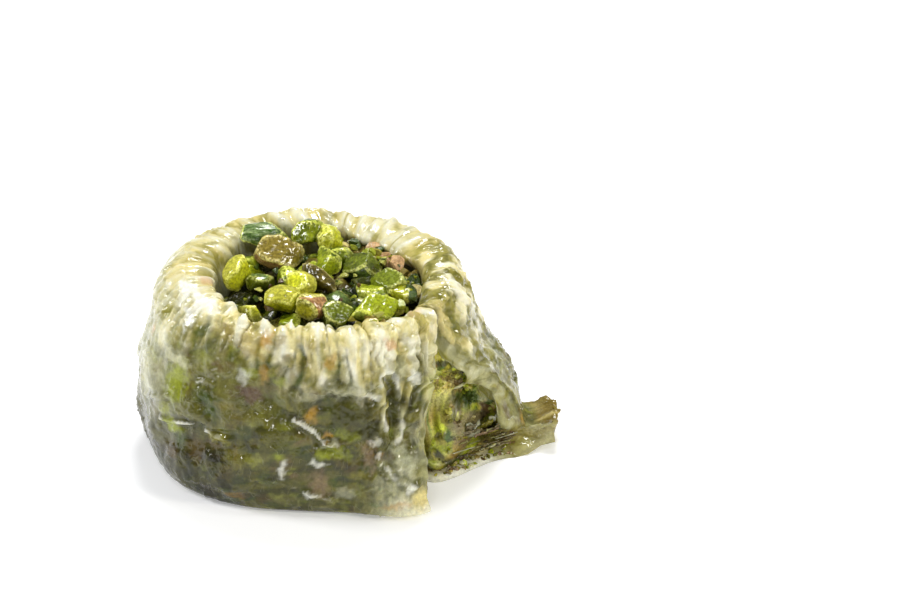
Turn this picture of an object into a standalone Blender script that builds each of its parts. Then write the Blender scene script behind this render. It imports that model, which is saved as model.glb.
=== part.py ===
# A baklava nest: a roll of thin phyllo round ground pistachio, stood on edge and bent into a ring, with
# chopped pistachios in its cup. The two cut ends of the roll meet at the rim and spread apart at the foot.
# Lengths are millimetres and angles degrees here; make_object turns points into metres.
# The origin is the middle of the cup's underside, on the table. +X runs towards the foot of the back end,
# and +Y to the back. The cup's floor and the wall below the nuts are out of sight, and are a plain guess.

import math
import random
from collections import namedtuple

import bmesh
import bpy
from mathutils import Euler, Vector, noise

METRES = 0.001
CREASE = 35.0  # edges sharper than this are shaded as creases

# The ring
RIM_HEIGHT = 30.5
CUP_RADIUS = 16.6
SEAM_ANGLE = -36.0  # where the front end of the roll meets the back end, as a polar angle
RING_SWEEP = 358.5  # how far the rim runs round from one end to the other
STATIONS = 108  # cross-sections round the outside, four to a pleat
PLEATS = 27
PLEAT_DEPTH = 0.6
END_FOLD_DEPTH = 0.8  # the curtain-like folds beside the front end
LUMP_HEIGHT = 0.6
LUMP_SPACING = 7.0
END_SPREAD = 1.9  # how far the rim turns outward where its two ends meet
OVERHANG = 3.2  # how far the rim leans in over the nuts at the back right
OVERHANG_MIDDLE = 46.0
OVERHANG_HALF_WIDTH = 44.0

# The wrapper and what it holds
WALL = 1.4  # the soaked phyllo layers, pressed together
FILL_GAP = 0.4
FILL_TOP = 25.0  # above this the rim is gathered phyllo alone
FILL_BOTTOM = 1.7
FILL_STATIONS = 30
FILL_RELIEF = 0.9  # how deep the crumbly cut faces are
FLOOR_RADIUS = 17.2
FLOOR_THICKNESS = 2.0

# The chopped pistachios
HEAP_RADIUS = 16.2
HEAP_BOTTOM = 2.4
HEAP_MIDDLE = 27.8  # core height at the middle of the cup
HEAP_DROP = 1.5  # how much lower it is at the rim
HEAP_SLOPE = 0.06  # it rises towards the back
LOOSE_CHIPS = 64
CHIP_POINTS = 12
SEED = 7

# One height on the outer wall: its radius at front and back, how much further out it lies on the left and at
# the front and back ends of the roll, and the polar angle of each end there
Level = namedtuple("Level", "height radius left front_end back_end front_angle back_angle")
CREST = Level(RIM_HEIGHT, 19.3, 3.0, 2.9, 2.4, -36, -34.5)
SHOULDER = Level(27.4, 22.6, 3.3, 2.8, 1.6, -40.5, -33.5)
UPPER = Level(22.0, 24.2, 3.6, 2.0, 1.2, -45.5, -27)
MIDDLE = Level(14.0, 24.8, 4.6, 2.2, 4.9, -51.5, -11)
LOWER = Level(7.0, 25.0, 4.7, 3.8, 7.4, -54.5, -4.5)
BASE = Level(2.8, 24.7, 4.4, 4.8, 9.2, -54.5, -8)

# The foot. It is rounded under, but at the two ends the phyllo is pinched out: a small toe in front, a flap at
# the back, and a lip of the bottom layers before the back end's cut face.
FOOT_ROUNDING = 1.4
TOE_LENGTH = 1.5
FLAP_LENGTH = 4.6
FLAP_LIFT = 3.4
FLAP_THICKNESS = 1.2
LIP_ACROSS = 1.6
LIP_FORWARD = 4.8
CRUMBS_ON_LIP = 0.6  # how much of the lip the filling spills over

# Chips that stand out in the heap: place across and back, how high above the core, length, width, thickness
# and turn
Chip = namedtuple("Chip", "x y lift length width thickness turn")
MAIN_CHIPS = (
    Chip(-9.8, 11.6, 2.2, 8.4, 5.2, 4.6, 8),
    Chip(-6.9, 6.4, 2.3, 7.6, 5.8, 4.8, -12),
    Chip(-13.0, 1.4, 1.7, 6.2, 4.4, 4.8, 78),
    Chip(-2.1, 13.0, 1.7, 5.6, 4.8, 4.8, 35),
    Chip(1.3, 12.2, 1.8, 5.0, 4.4, 4.6, 110),
    Chip(1.2, 4.0, 1.6, 6.4, 4.0, 4.6, 84),
    Chip(6.4, 4.6, 1.4, 6.8, 5.2, 4.4, -18),
    Chip(-0.2, -1.0, 1.2, 7.0, 3.4, 3.4, -36),
    Chip(-2.9, -2.8, 1.5, 4.8, 4.2, 3.8, 20),
    Chip(-5.5, -7.2, 1.4, 6.0, 5.2, 4.8, -24),
    Chip(-1.0, -8.8, 1.9, 5.4, 4.8, 4.4, 52),
    Chip(3.2, -10.4, 1.2, 5.6, 4.2, 3.8, -10),
    Chip(8.8, -8.9, 1.7, 9.8, 4.4, 4.0, 4),
    Chip(10.8, -1.4, 1.6, 6.4, 5.0, 4.8, -30),
    Chip(13.4, -3.8, 1.6, 4.0, 3.6, 3.6, 15),
)

PHYLLO = ("phyllo", (0.62, 0.58, 0.34, 1), 0.25)
FILLING = ("ground_pistachio", (0.26, 0.28, 0.08, 1), 0.5)
NUTS = ("chopped_pistachio", (0.36, 0.42, 0.06, 1), 0.35)


def clear_scene():
    for obj in list(bpy.data.objects):
        bpy.data.objects.remove(obj)


def smooth_step(low, high, value):
    share = min(1.0, max(0.0, (value - low) / (high - low)))
    return share * share * (3 - 2 * share)


def at_front_end(along):
    return 1 - smooth_step(0.02, 0.19, along)


def at_back_end(along):
    return smooth_step(0.64, 1.0, along)


def on_the_left(along, height):
    """The bulge on the left, which leans backward towards the rim."""
    middle, reach = 0.34 + 0.13 * (height / RIM_HEIGHT) ** 2, 0.25
    return math.cos(math.pi / 2 * min(1.0, abs(along - middle) / reach)) ** 2


def overhang(angle):
    away = abs((angle - OVERHANG_MIDDLE + 180) % 360 - 180)
    return 1 - smooth_step(0.35 * OVERHANG_HALF_WIDTH, OVERHANG_HALF_WIDTH, away)


def close_to_seam(along):
    return 1 - smooth_step(0.0, 0.07, along) + smooth_step(0.93, 1.0, along)


def polar(radius, angle, height):
    turn = math.radians(angle)
    return Vector((radius * math.cos(turn), radius * math.sin(turn), height))


def angle_at(along, front_angle, back_angle):
    """The polar angle of a cross-section. Near the ends each height has its own, as they are cut askew."""
    crest_end = SEAM_ANGLE - RING_SWEEP
    front_share = 1 - smooth_step(0.0, 0.14, along)
    back_share = smooth_step(0.8, 1.0, along)
    return (
        SEAM_ANGLE
        - RING_SWEEP * along
        + (front_angle - SEAM_ANGLE) * front_share
        + (back_angle - 360 - crest_end) * back_share
    )


def radius_at(along, level):
    return (
        level.radius
        + level.left * on_the_left(along, level.height)
        + level.front_end * at_front_end(along)
        + level.back_end * at_back_end(along)
    )


def outer_point(along, level, inset=0.0, height=None):
    angle = angle_at(along, level.front_angle, level.back_angle)
    return polar(radius_at(along, level) - inset, angle, level.height if height is None else height)


def inner_point(along, radius, height):
    return polar(radius, angle_at(along, CREST.front_angle, CREST.back_angle), height)


def toe_share(along):
    return 1 - smooth_step(0.0, 0.06, along)


def flap_share(along):
    return smooth_step(0.925, 0.96, along)


def lip_shift(along, share_across, share_forward):
    """How far the bottom layers reach past the back end's cut face."""
    weight = smooth_step(0.972, 1.0, along)
    return Vector((LIP_ACROSS * share_across, -LIP_FORWARD * share_forward, 0)) * weight


def wall_loop(along):
    """The outside of one cross-section, from the bottom of the cup's wall up over the rim and down to the foot."""
    spread = END_SPREAD * close_to_seam(along)
    lean = overhang(angle_at(along, CREST.front_angle, CREST.back_angle))
    toe, flap = toe_share(along), flap_share(along)
    reach = FLAP_LENGTH * flap + TOE_LENGTH * toe - 0.5 * (1 - flap) * (1 - toe)
    top = FOOT_ROUNDING - 0.5 * toe + (FLAP_LIFT + FLAP_THICKNESS - FOOT_ROUNDING) * flap
    under = 0.5 - 0.2 * toe + (FLAP_LIFT - 0.5) * flap
    return [
        inner_point(along, CUP_RADIUS, 0.9),
        inner_point(along, CUP_RADIUS, 13.0),
        inner_point(along, CUP_RADIUS + 0.3 * spread, 26.6),
        inner_point(along, CUP_RADIUS + 0.8 + spread - OVERHANG * lean, RIM_HEIGHT - 0.9 * (1 + lean)),
        outer_point(along, CREST),
        outer_point(along, SHOULDER),
        outer_point(along, UPPER),
        outer_point(along, MIDDLE),
        outer_point(along, LOWER),
        outer_point(along, BASE),
        outer_point(along, BASE, -reach, top),
        outer_point(along, BASE, -reach + 0.6 * (1 - flap), under),
        outer_point(along, BASE, 1.8 - toe, 0.0) + lip_shift(along, -0.2, 0.8),
        outer_point(along, BASE, 4.0, 0.0) + lip_shift(along, 0.5, 0.9),
        inner_point(along, 18.9, 0.0) + lip_shift(along, 1.0, 1.0),
    ]


def filling_loop(along, inset):
    """The same cross-section, inset from the outside, and cut short under the gathered rim."""
    side, top = WALL + inset, FILL_TOP - inset
    return [
        inner_point(along, CUP_RADIUS + side, FILL_BOTTOM + 1.0 + inset),
        inner_point(along, CUP_RADIUS + side, 13.0),
        inner_point(along, CUP_RADIUS + side + 0.2, top - 4.0),
        inner_point(along, CUP_RADIUS + side + 0.7, top - 1.2),
        outer_point(along, CREST, 0.0, top),
        outer_point(along, SHOULDER, side + 0.2, top - 1.4),
        outer_point(along, UPPER, side, top - 5.0),
        outer_point(along, MIDDLE, side),
        outer_point(along, LOWER, side),
        outer_point(along, BASE, side + 0.8, BASE.height + 0.8),
        outer_point(along, BASE, side + 1.6, BASE.height - 0.2 + inset),
        outer_point(along, BASE, side + 2.2, FILL_BOTTOM + 0.3 + inset),
        outer_point(along, BASE, side + 3.0, FILL_BOTTOM + inset),
        outer_point(along, BASE, side + 4.6, FILL_BOTTOM + inset),
        inner_point(along, 19.2 + inset, FILL_BOTTOM + inset),
    ]


def lumped(point):
    """Moves a point in or out with the coarse nuts beneath. It fades out at the table and inside the cup."""
    outward = Vector((point.x, point.y, 0)).normalized()
    radius = math.hypot(point.x, point.y)
    share = smooth_step(1.0, 6.0, point.z) * (1 - smooth_step(22.0, 28.0, point.z))
    share *= smooth_step(19.0, 23.0, radius)
    return point + outward * (noise.noise(point / LUMP_SPACING) * LUMP_HEIGHT * 2 * share)


def pleat_wave(along):
    """0 in a groove, 1 on a ridge. The pleats are uneven in width."""
    wander = 0.35 * noise.noise(Vector((along * 9.0, 3.1, 0.7)))
    return 0.5 + 0.5 * math.cos(2 * math.pi * (PLEATS * along + wander))


def pleated(point, along):
    """Presses the pleats into the rim and the curtain folds into the front end."""
    groove = 1 - pleat_wave(along)
    radius = math.hypot(point.x, point.y)
    on_rim = smooth_step(15.0, 27.0, point.z) * smooth_step(16.7, 18.4, radius)
    beside_end = 1 - smooth_step(0.10, 0.17, along)
    beside_end *= smooth_step(3.0, 8.0, point.z) * smooth_step(20.0, 23.0, radius)
    depth = groove * max(PLEAT_DEPTH * on_rim, END_FOLD_DEPTH * beside_end)
    outward = Vector((point.x, point.y, 0)).normalized()
    drop = Vector((0, 0, 1)) * smooth_step(28.5, 30.0, point.z)
    return point - (outward * (1 - 0.6 * drop.z) + drop) * depth


def stations(count):
    return [i / count for i in range(count + 1)]


def tube_faces(bm, loops):
    """Joins each loop of corners to the next with a band of faces."""
    for first, second in zip(loops, loops[1:]):
        for i in range(len(first)):
            after = (i + 1) % len(first)
            bm.faces.new((first[i], first[after], second[after], second[i]))


def add_loops(bm, loops):
    return [[bm.verts.new(point) for point in loop] for loop in loops]


def make_object(name, bm, look):
    bmesh.ops.triangulate(bm, faces=bm.faces, quad_method="BEAUTY")
    bmesh.ops.recalc_face_normals(bm, faces=bm.faces)
    for corner in bm.verts:
        corner.co *= METRES
    mesh = bpy.data.meshes.new(name)
    bm.to_mesh(mesh)
    bm.free()
    mesh.shade_smooth()
    mesh.set_sharp_from_angle(angle=math.radians(CREASE))
    obj = bpy.data.objects.new(name, mesh)
    bpy.context.scene.collection.objects.link(obj)
    mesh.materials.append(material(*look))
    return obj


def material(name, colour, roughness):
    made = bpy.data.materials.get(name) or bpy.data.materials.new(name)
    made.use_nodes = True
    shader = made.node_tree.nodes["Principled BSDF"]
    shader.inputs["Base Color"].default_value = colour
    shader.inputs["Roughness"].default_value = roughness
    shader.inputs["Metallic"].default_value = 0.0
    return made


def apply_union(obj, modifier):
    bpy.context.view_layer.objects.active = obj
    bpy.ops.object.modifier_apply(modifier=modifier.name)


def keep_main_body(obj):
    """Drops loose scraps and fills the sealed hollows that a union leaves."""
    bm = bmesh.new()
    bm.from_mesh(obj.data)
    unseen, bodies = set(bm.verts), []
    while unseen:
        found, edge = set(), [unseen.pop()]
        while edge:
            corner = edge.pop()
            found.add(corner)
            beside = {e.other_vert(corner) for e in corner.link_edges} & unseen
            unseen -= beside
            edge.extend(beside)
        bodies.append(found)
    bodies.sort(key=len)
    bmesh.ops.delete(bm, geom=[corner for body in bodies[:-1] for corner in body], context="VERTS")
    bm.to_mesh(obj.data)
    bm.free()


def cup_floor():
    bm = bmesh.new()
    bmesh.ops.create_cone(
        bm, cap_ends=True, segments=48, radius1=FLOOR_RADIUS, radius2=FLOOR_RADIUS, depth=FLOOR_THICKNESS
    )
    for corner in bm.verts:
        corner.co.z += FLOOR_THICKNESS / 2
    return make_object("cup_floor", bm, PHYLLO)


def wrapper():
    """The phyllo: a tube with a channel along it, open at both cut ends, on a round floor."""
    bm = bmesh.new()
    outside = add_loops(bm, [[pleated(lumped(p), t) for p in wall_loop(t)] for t in stations(STATIONS)])
    channel = add_loops(bm, [[lumped(p) for p in filling_loop(t, 0.0)] for t in stations(FILL_STATIONS)])
    tube_faces(bm, outside)
    tube_faces(bm, channel)
    tube_faces(bm, [outside[0], channel[0]])
    tube_faces(bm, [outside[-1], channel[-1]])
    wrap = make_object("phyllo_wrap", bm, PHYLLO)
    floor = cup_floor()
    union = wrap.modifiers.new("floor", "BOOLEAN")
    union.operation = "UNION"
    union.object = floor
    apply_union(wrap, union)
    bpy.data.objects.remove(floor)
    return wrap


def spilt(point):
    """Moves the foot of the back end's cut face out over the lip, as loose crumbs lie there."""
    radius = math.hypot(point.x, point.y)
    share = CRUMBS_ON_LIP * (1 - smooth_step(3.0, 10.0, point.z)) * (1 - smooth_step(23.0, 30.0, radius))
    return point + lip_shift(1.0, share, share)


def cut_face_loops(edge, inward):
    """Smaller loops and a middle point that close one end of the filling, sunk unevenly as a crumbly cut is."""
    middle = sum(edge, Vector()) / len(edge)
    loops = []
    for share in (0.68, 0.36):
        loop = []
        for point in edge:
            place = middle + (point - middle) * share
            sunk = 0.5 + noise.noise(place / 2.7 + Vector((5, 1, 2)))
            loop.append(place + inward * FILL_RELIEF * sunk)
        loops.append(loop)
    return loops, middle + inward * FILL_RELIEF * 0.6


def filling():
    """The ground pistachio, which runs through the whole roll and shows at both cut ends."""
    loops = [[lumped(p) for p in filling_loop(t, FILL_GAP)] for t in stations(FILL_STATIONS)]
    loops[-1] = [spilt(p) for p in loops[-1]]
    bm = bmesh.new()
    body = add_loops(bm, loops)
    tube_faces(bm, body)
    for end, beside in ((0, 1), (-1, -2)):
        inward = (sum(loops[beside], Vector()) - sum(loops[end], Vector())).normalized()
        inner_loops, middle = cut_face_loops(loops[end], inward)
        rings = [body[end], *add_loops(bm, inner_loops)]
        tube_faces(bm, rings)
        hub = bm.verts.new(middle)
        last = rings[-1]
        for i in range(len(last)):
            bm.faces.new((last[i], last[(i + 1) % len(last)], hub))
    return make_object("pistachio_filling", bm, FILLING)


def heap_height(x, y):
    radius = math.hypot(x, y)
    lean = overhang(math.degrees(math.atan2(y, x)))
    return HEAP_MIDDLE + HEAP_SLOPE * y - (HEAP_DROP + 2.4 * lean) * (radius / HEAP_RADIUS) ** 2


def cup_reach(point):
    """How far out a chip may reach. The rim leans in over the back right and opens upward elsewhere."""
    lean = overhang(math.degrees(math.atan2(point.y, point.x))) * smooth_step(24.5, 26.5, point.z)
    opening = 0.2 * max(0.0, point.z - 27.0) + 1.2 * max(0.0, point.z - 29.9)
    return HEAP_RADIUS - 0.1 - OVERHANG * lean + opening * (1 - lean)


def heap_core():
    """A plain domed plug that carries the chips."""
    sides, rings = 36, 5
    bm = bmesh.new()
    loops = [[polar(HEAP_RADIUS, 360 * i / sides, HEAP_BOTTOM) for i in range(sides)]]
    for ring in range(rings):
        radius = HEAP_RADIUS * (1 - ring / rings)
        loop = [polar(radius, 360 * i / sides, 0) for i in range(sides)]
        loops.append([Vector((p.x, p.y, heap_height(p.x, p.y))) for p in loop])
    corners = add_loops(bm, loops)
    tube_faces(bm, corners)
    bm.faces.new(corners[0])
    bm.faces.new(corners[-1])
    return make_object("pistachio_heap", bm, NUTS)


def loose_chips(rng):
    """Smaller chips spread evenly by a sunflower spiral, skipping the places of the main ones."""
    golden = 180 * (3 - math.sqrt(5))
    found = []
    for i in range(LOOSE_CHIPS):
        radius = 14.4 * math.sqrt((i + 0.5) / LOOSE_CHIPS)
        place = polar(radius, golden * i + 11, 0)
        place += Vector((rng.uniform(-0.7, 0.7), rng.uniform(-0.7, 0.7), 0))
        length = rng.uniform(4.2, 6.4)
        chip = Chip(
            place.x, place.y, rng.uniform(-0.2, 1.1), length, length * rng.uniform(0.6, 0.85),
            length * rng.uniform(0.55, 0.75), rng.uniform(0, 180),
        )
        if all(math.hypot(chip.x - m.x, chip.y - m.y) > 2.2 for m in MAIN_CHIPS):
            found.append(chip)
    return found


def chip_object(chip, rng):
    """A chopped nut: the hull of a few uneven points on an ellipsoid, kept inside the cup."""
    tilt = Euler((rng.uniform(-0.5, 0.5), rng.uniform(-0.5, 0.5), math.radians(chip.turn)))
    size = Vector((chip.length, chip.width, chip.thickness)) / 2
    bm = bmesh.new()
    for i in range(CHIP_POINTS):
        rise = 1 - 2 * (i + 0.5) / CHIP_POINTS
        around = polar(math.sqrt(1 - rise * rise), 137.5 * i, rise)
        corner = Vector(a * b * rng.uniform(0.82, 1.12) for a, b in zip(around, size))
        corner.rotate(tilt)
        corner += Vector((chip.x, chip.y, heap_height(chip.x, chip.y) + chip.lift))
        share = min(1.0, cup_reach(corner) / math.hypot(corner.x, corner.y))
        corner.x *= share
        corner.y *= share
        bm.verts.new(corner)
    hull = bmesh.ops.convex_hull(bm, input=bm.verts)
    spare = [g for g in hull["geom_interior"] if isinstance(g, bmesh.types.BMVert)]
    bmesh.ops.delete(bm, geom=spare, context="VERTS")
    return make_object("chip", bm, NUTS)


def nut_heap():
    rng = random.Random(SEED)
    core = heap_core()
    chips = bpy.data.collections.new("chips")
    bpy.context.scene.collection.children.link(chips)
    for chip in (*MAIN_CHIPS, *loose_chips(rng)):
        obj = chip_object(chip, rng)
        bpy.context.scene.collection.objects.unlink(obj)
        chips.objects.link(obj)
    union = core.modifiers.new("chips", "BOOLEAN")
    union.operation = "UNION"
    union.operand_type = "COLLECTION"
    union.collection = chips
    apply_union(core, union)
    for obj in list(chips.objects):
        bpy.data.objects.remove(obj)
    bpy.data.collections.remove(chips)
    keep_main_body(core)
    return core


def build():
    clear_scene()
    wrapper()
    filling()
    nut_heap()


build()
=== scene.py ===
import math
import random

import bmesh
import bpy
import numpy as np
from mathutils import Matrix, Vector, noise


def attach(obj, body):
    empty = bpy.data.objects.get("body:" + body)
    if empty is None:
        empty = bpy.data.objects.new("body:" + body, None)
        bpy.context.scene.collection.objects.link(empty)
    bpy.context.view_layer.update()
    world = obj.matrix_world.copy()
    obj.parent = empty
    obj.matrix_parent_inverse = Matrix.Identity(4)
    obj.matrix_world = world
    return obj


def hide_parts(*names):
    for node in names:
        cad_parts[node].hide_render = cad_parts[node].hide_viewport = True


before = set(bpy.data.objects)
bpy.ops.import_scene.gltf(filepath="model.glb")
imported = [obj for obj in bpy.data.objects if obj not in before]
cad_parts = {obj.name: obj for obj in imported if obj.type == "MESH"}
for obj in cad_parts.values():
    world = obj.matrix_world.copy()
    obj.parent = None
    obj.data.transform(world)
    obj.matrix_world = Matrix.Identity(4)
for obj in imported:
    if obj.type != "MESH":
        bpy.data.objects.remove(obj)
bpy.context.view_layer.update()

# A baklava nest: a roll of soaked phyllo bent into a ring round chopped pistachios.
# Shapes are worked out in millimetres and turned into metres when a piece is finished.
mm = 0.001


# Shader wiring

class Wire:
    # one output of a node, so that shader maths can be written as plain sums
    def __init__(self, look, socket):
        self.look = look
        self.socket = socket

    def maths(self, operation, *values):
        return self.look.add("ShaderNodeMath", {"operation": operation}, dict(enumerate(values)))

    def __add__(self, other):
        return self.maths("ADD", self, other)

    def __sub__(self, other):
        return self.maths("SUBTRACT", self, other)

    def __rsub__(self, other):
        return self.maths("SUBTRACT", other, self)

    def __mul__(self, other):
        return self.maths("MULTIPLY", self, other)

    def __abs__(self):
        return self.maths("ABSOLUTE", self)

    __radd__ = __add__
    __rmul__ = __mul__


class Look:
    # the nodes of one material
    def __init__(self, name):
        self.material = bpy.data.materials.new(name)
        self.material.use_nodes = True
        self.tree = self.material.node_tree
        self.shader = self.tree.nodes["Principled BSDF"]

    def add(self, kind, settings=None, inputs=None, output=0):
        node = self.tree.nodes.new(kind)
        for name, value in (settings or {}).items():
            if name == "stops":
                ramp = node.color_ramp
                while len(ramp.elements) < len(value):
                    ramp.elements.new(0.5)
                for element, (place, colour) in zip(ramp.elements, value):
                    element.position = place
                    element.color = (*colour, 1)
            else:
                setattr(node, name, value)
        for name, value in (inputs or {}).items():
            self.feed(node.inputs[name], value)
        return Wire(self, node.outputs[output])

    def feed(self, socket, value):
        if isinstance(value, Wire):
            self.tree.links.new(value.socket, socket)
        else:
            socket.default_value = value

    def places(self):
        # object coordinates in millimetres
        spot = self.add("ShaderNodeTexCoord", output=3)
        return self.add("ShaderNodeVectorMath", {"operation": "SCALE"}, {0: spot, 3: 1000.0})

    def attribute(self, name, output=2):
        return self.add("ShaderNodeAttribute", {"attribute_name": name}, output=output)

    def grain(self, places, size, detail=3.0, roughness=0.5):
        # soft noise from 0 to 1 with patches of that size in millimetres
        return self.add("ShaderNodeTexNoise", None,
                        {"Vector": places, "Scale": 1 / size, "Detail": detail, "Roughness": roughness})

    def between(self, value, low, high, start=0.0, end=1.0):
        return self.add("ShaderNodeMapRange", {"interpolation_type": "SMOOTHSTEP"},
                        {0: value, 1: low, 2: high, 3: start, 4: end})

    def blend(self, share, first, second, way="MIX"):
        return self.add("ShaderNodeMix", {"data_type": "RGBA", "blend_type": way},
                        {0: share, 6: first, 7: second}, output=2)

    def shaded(self, colours, brightness):
        grey = self.add("ShaderNodeCombineColor", None, {0: brightness, 1: brightness, 2: brightness})
        return self.blend(1.0, colours, grey, "MULTIPLY")

    def stretched(self, places, factors):
        return self.add("ShaderNodeVectorMath", {"operation": "MULTIPLY"}, {0: places, 1: factors})

    def bump(self, height, depth, strength=1.0):
        # depth in millimetres
        sizes = {"Height": height, "Distance": depth * mm, "Strength": strength}
        return self.add("ShaderNodeBump", None, sizes)

    def finish(self, values):
        for name, value in values.items():
            self.feed(self.shader.inputs[name], value)
        return self.material


def colour(red, green, blue):
    return (red, green, blue, 1)


# Camera, light and floor

studio = {
    "cameraPlace": (20.87, -383.1, 237.0),
    "cameraElevation": 29.0,
    "lens": 109.1,
    "worldBrightness": 0.20,
    "floorColour": (0.93, 0.935, 0.95),
    "floorGlow": 0.25,
    "fillColour": (1.0, 0.95, 0.80),
    # name, place, size across and along, watts
    "lights": (
        ("overhead", (40, 250, 520), (180, 130), 2.4),
        ("leftWindow", (-460, 40, 330), (130, 150), 1.45),
        ("rightFill", (420, -200, 240), (80, 90), 0.85),
        ("frontSpark", (-70, -250, 480), (70, 60), 0.3),
        ("rightSpark", (250, -60, 480), (60, 60), 0.25),
        ("frontStrip", (-30, -430, 155), (340, 16), 0.13),
        ("lowRight", (160, -420, 130), (36, 36), 0.11),
        ("lowLeft", (-230, -380, 140), (36, 36), 0.11),
    ),
}


def makeStudio():
    camera = bpy.data.objects.new("camera", bpy.data.cameras.new("camera"))
    bpy.context.scene.collection.objects.link(camera)
    camera.location = Vector(studio["cameraPlace"]) * mm
    camera.rotation_euler = (math.radians(90 - studio["cameraElevation"]), 0, 0)
    camera.data.lens = studio["lens"]
    camera.data.sensor_width = 36
    camera.data.clip_start = 0.01
    bpy.context.scene.camera = camera
    world = bpy.data.worlds.new("studio")
    world.use_nodes = True
    world.node_tree.nodes["Background"].inputs["Color"].default_value = colour(1, 1, 1)
    world.node_tree.nodes["Background"].inputs["Strength"].default_value = studio["worldBrightness"]
    bpy.context.scene.world = world
    for name, place, size, watts in studio["lights"]:
        light = bpy.data.lights.new(name, "AREA")
        light.shape = "RECTANGLE"
        light.size, light.size_y = size[0] * mm, size[1] * mm
        light.energy = watts
        light.color = studio["fillColour"] if name == "rightFill" else (1, 1, 1)
        lamp = bpy.data.objects.new(name, light)
        bpy.context.scene.collection.objects.link(lamp)
        lamp.location = Vector(place) * mm
        lamp.rotation_euler = (Vector((0, 0, 0.015)) - lamp.location).to_track_quat("-Z", "Y").to_euler()
    bpy.context.scene.view_settings.view_transform = "Standard"
    bpy.context.scene.view_settings.look = "None"
    bpy.ops.mesh.primitive_plane_add(size=3.0, location=(0, 0, 0))
    floor = bpy.context.object
    floor.name = "floor"
    look = Look("paleFloor")
    floor.data.materials.append(look.finish({
        "Base Color": colour(*studio["floorColour"]),
        "Roughness": 0.7,
        "Specular IOR Level": 0.2,
        "Emission Color": colour(0.98, 0.985, 1.0),
        "Emission Strength": studio["floorGlow"],
    }))
    print("studio made")


# Helpers for shapes

def fadeIn(low, high, value):
    share = np.clip((value - low) / (high - low), 0.0, 1.0)
    return share * share * (3 - 2 * share)


def fadeOut(low, high, value):
    return 1 - fadeIn(low, high, value)


def softNoise(points, spacing, shift=0.0):
    offset = Vector((shift, shift * 1.7, -shift))
    return np.array([noise.noise(Vector(p) + offset) for p in np.asarray(points) / spacing])


def lastMade(name):
    made = bpy.context.object
    made.name = name
    made.data.name = name
    return made


def selectOnly(pieces):
    bpy.ops.object.select_all(action="DESELECT")
    for obj in pieces:
        obj.select_set(True)
    bpy.context.view_layer.objects.active = pieces[0]


def layGrid(name, plan):
    # a flat grid, with each corner's number along the roll and round its cross-section
    stations, across = plan["stations"], sum(plan["steps"])
    bpy.ops.mesh.primitive_grid_add(x_subdivisions=stations, y_subdivisions=across, size=1.0)
    obj = lastMade(name)
    flat = pointsOf(obj.data) + 0.5
    column = np.rint(flat[:, 0] * stations).astype(int)
    row = np.rint(flat[:, 1] * across).astype(int)
    return obj, column, row, np.linspace(0, 1, stations + 1)


def mergeDoubles(obj):
    # closes the grid's two long edges where they meet
    selectOnly([obj])
    bpy.ops.object.mode_set(mode="EDIT")
    bpy.ops.mesh.select_all(action="SELECT")
    bpy.ops.mesh.remove_doubles(threshold=1e-5)
    bpy.ops.object.mode_set(mode="OBJECT")


def joinRows(bm, last, fresh):
    # faces between two closed rows of corners
    for i in range(len(fresh)):
        after = (i + 1) % len(fresh)
        bm.faces.new((last[i], last[after], fresh[after], fresh[i]))


def pointsOf(mesh):
    flat = np.zeros(len(mesh.vertices) * 3)
    mesh.vertices.foreach_get("co", flat)
    return flat.reshape(-1, 3)


def setPoints(mesh, points):
    mesh.vertices.foreach_set("co", np.asarray(points, float).ravel())
    mesh.update()


def normalsOf(mesh):
    flat = np.zeros(len(mesh.vertices) * 3)
    mesh.vertex_normals.foreach_get("vector", flat)
    return flat.reshape(-1, 3)


def setAttribute(mesh, name, values, kind="FLOAT"):
    attribute = mesh.attributes.get(name) or mesh.attributes.new(name, kind, "POINT")
    if kind == "FLOAT":
        attribute.data.foreach_set("value", np.asarray(values, np.float32))
    else:
        rows = np.ones((len(values), 4), np.float32)
        rows[:, :3] = values
        attribute.data.foreach_set("color", rows.ravel())


def finishPiece(obj, slot, *nodes):
    # turns millimetres into metres and hands the piece to the frame
    obj.data.transform(Matrix.Scale(mm, 4))
    obj.data.update()
    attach(obj, "root")
    if nodes:
        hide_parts(*nodes)


# The phyllo skin

ring = {
    "wallLength": 150.0,
    "cupRadius": 16.6,
    "seamAngle": -36.0,
    "sweep": 358.5,
    "pleats": 27,
    "endSpread": 1.9,
    "overhang": 3.2,
    "overhangMiddle": 46.0,
    "overhangHalfWidth": 44.0,
    "lumpHeight": 1.2,
    "lumpSpacing": 7.0,
    "wall": 1.4,
    "fillTop": 25.0,
    "fillBottom": 1.7,
    "footRounding": 1.4,
    "toeLength": 1.5,
    "flapLength": 4.6,
    "flapLift": 3.4,
    "flapThickness": 1.2,
    "lipAcross": 1.6,
    "lipForward": 4.8,
    # height, radius, more on the left, at the front end, at the back end, front end's angle, back end's
    "crest": (30.5, 19.3, 3.0, 2.9, 2.4, -36.0, -34.5),
    "shoulder": (27.4, 22.6, 3.3, 2.8, 1.6, -40.5, -33.5),
    "upper": (22.0, 24.2, 3.6, 2.0, 1.2, -45.5, -27.0),
    "middle": (14.0, 24.8, 4.6, 2.2, 4.9, -51.5, -11.0),
    "lower": (7.0, 25.0, 4.7, 3.8, 7.4, -54.5, -4.5),
    "base": (2.8, 24.7, 4.4, 4.8, 9.2, -54.5, -8.0),
}

skin = {
    "stations": 540,
    # steps between the corners of a cross-section, from the bottom of the cup over the rim to the foot
    "steps": (2, 4, 10, 14, 15, 22, 27, 24, 15, 6, 4, 4, 5, 9, 1),
    "rimPleat": 1.4,
    "smallPleat": 0.75,
    "thinCrease": 0.5,
    "curtainFold": 0.75,
    "wrinkle": 0.13,
    "leafEdge": 0.13,
    "facetSize": 3.6,
    "facetTilt": 0.17,
    "crinkle": 0.34,
}

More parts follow.
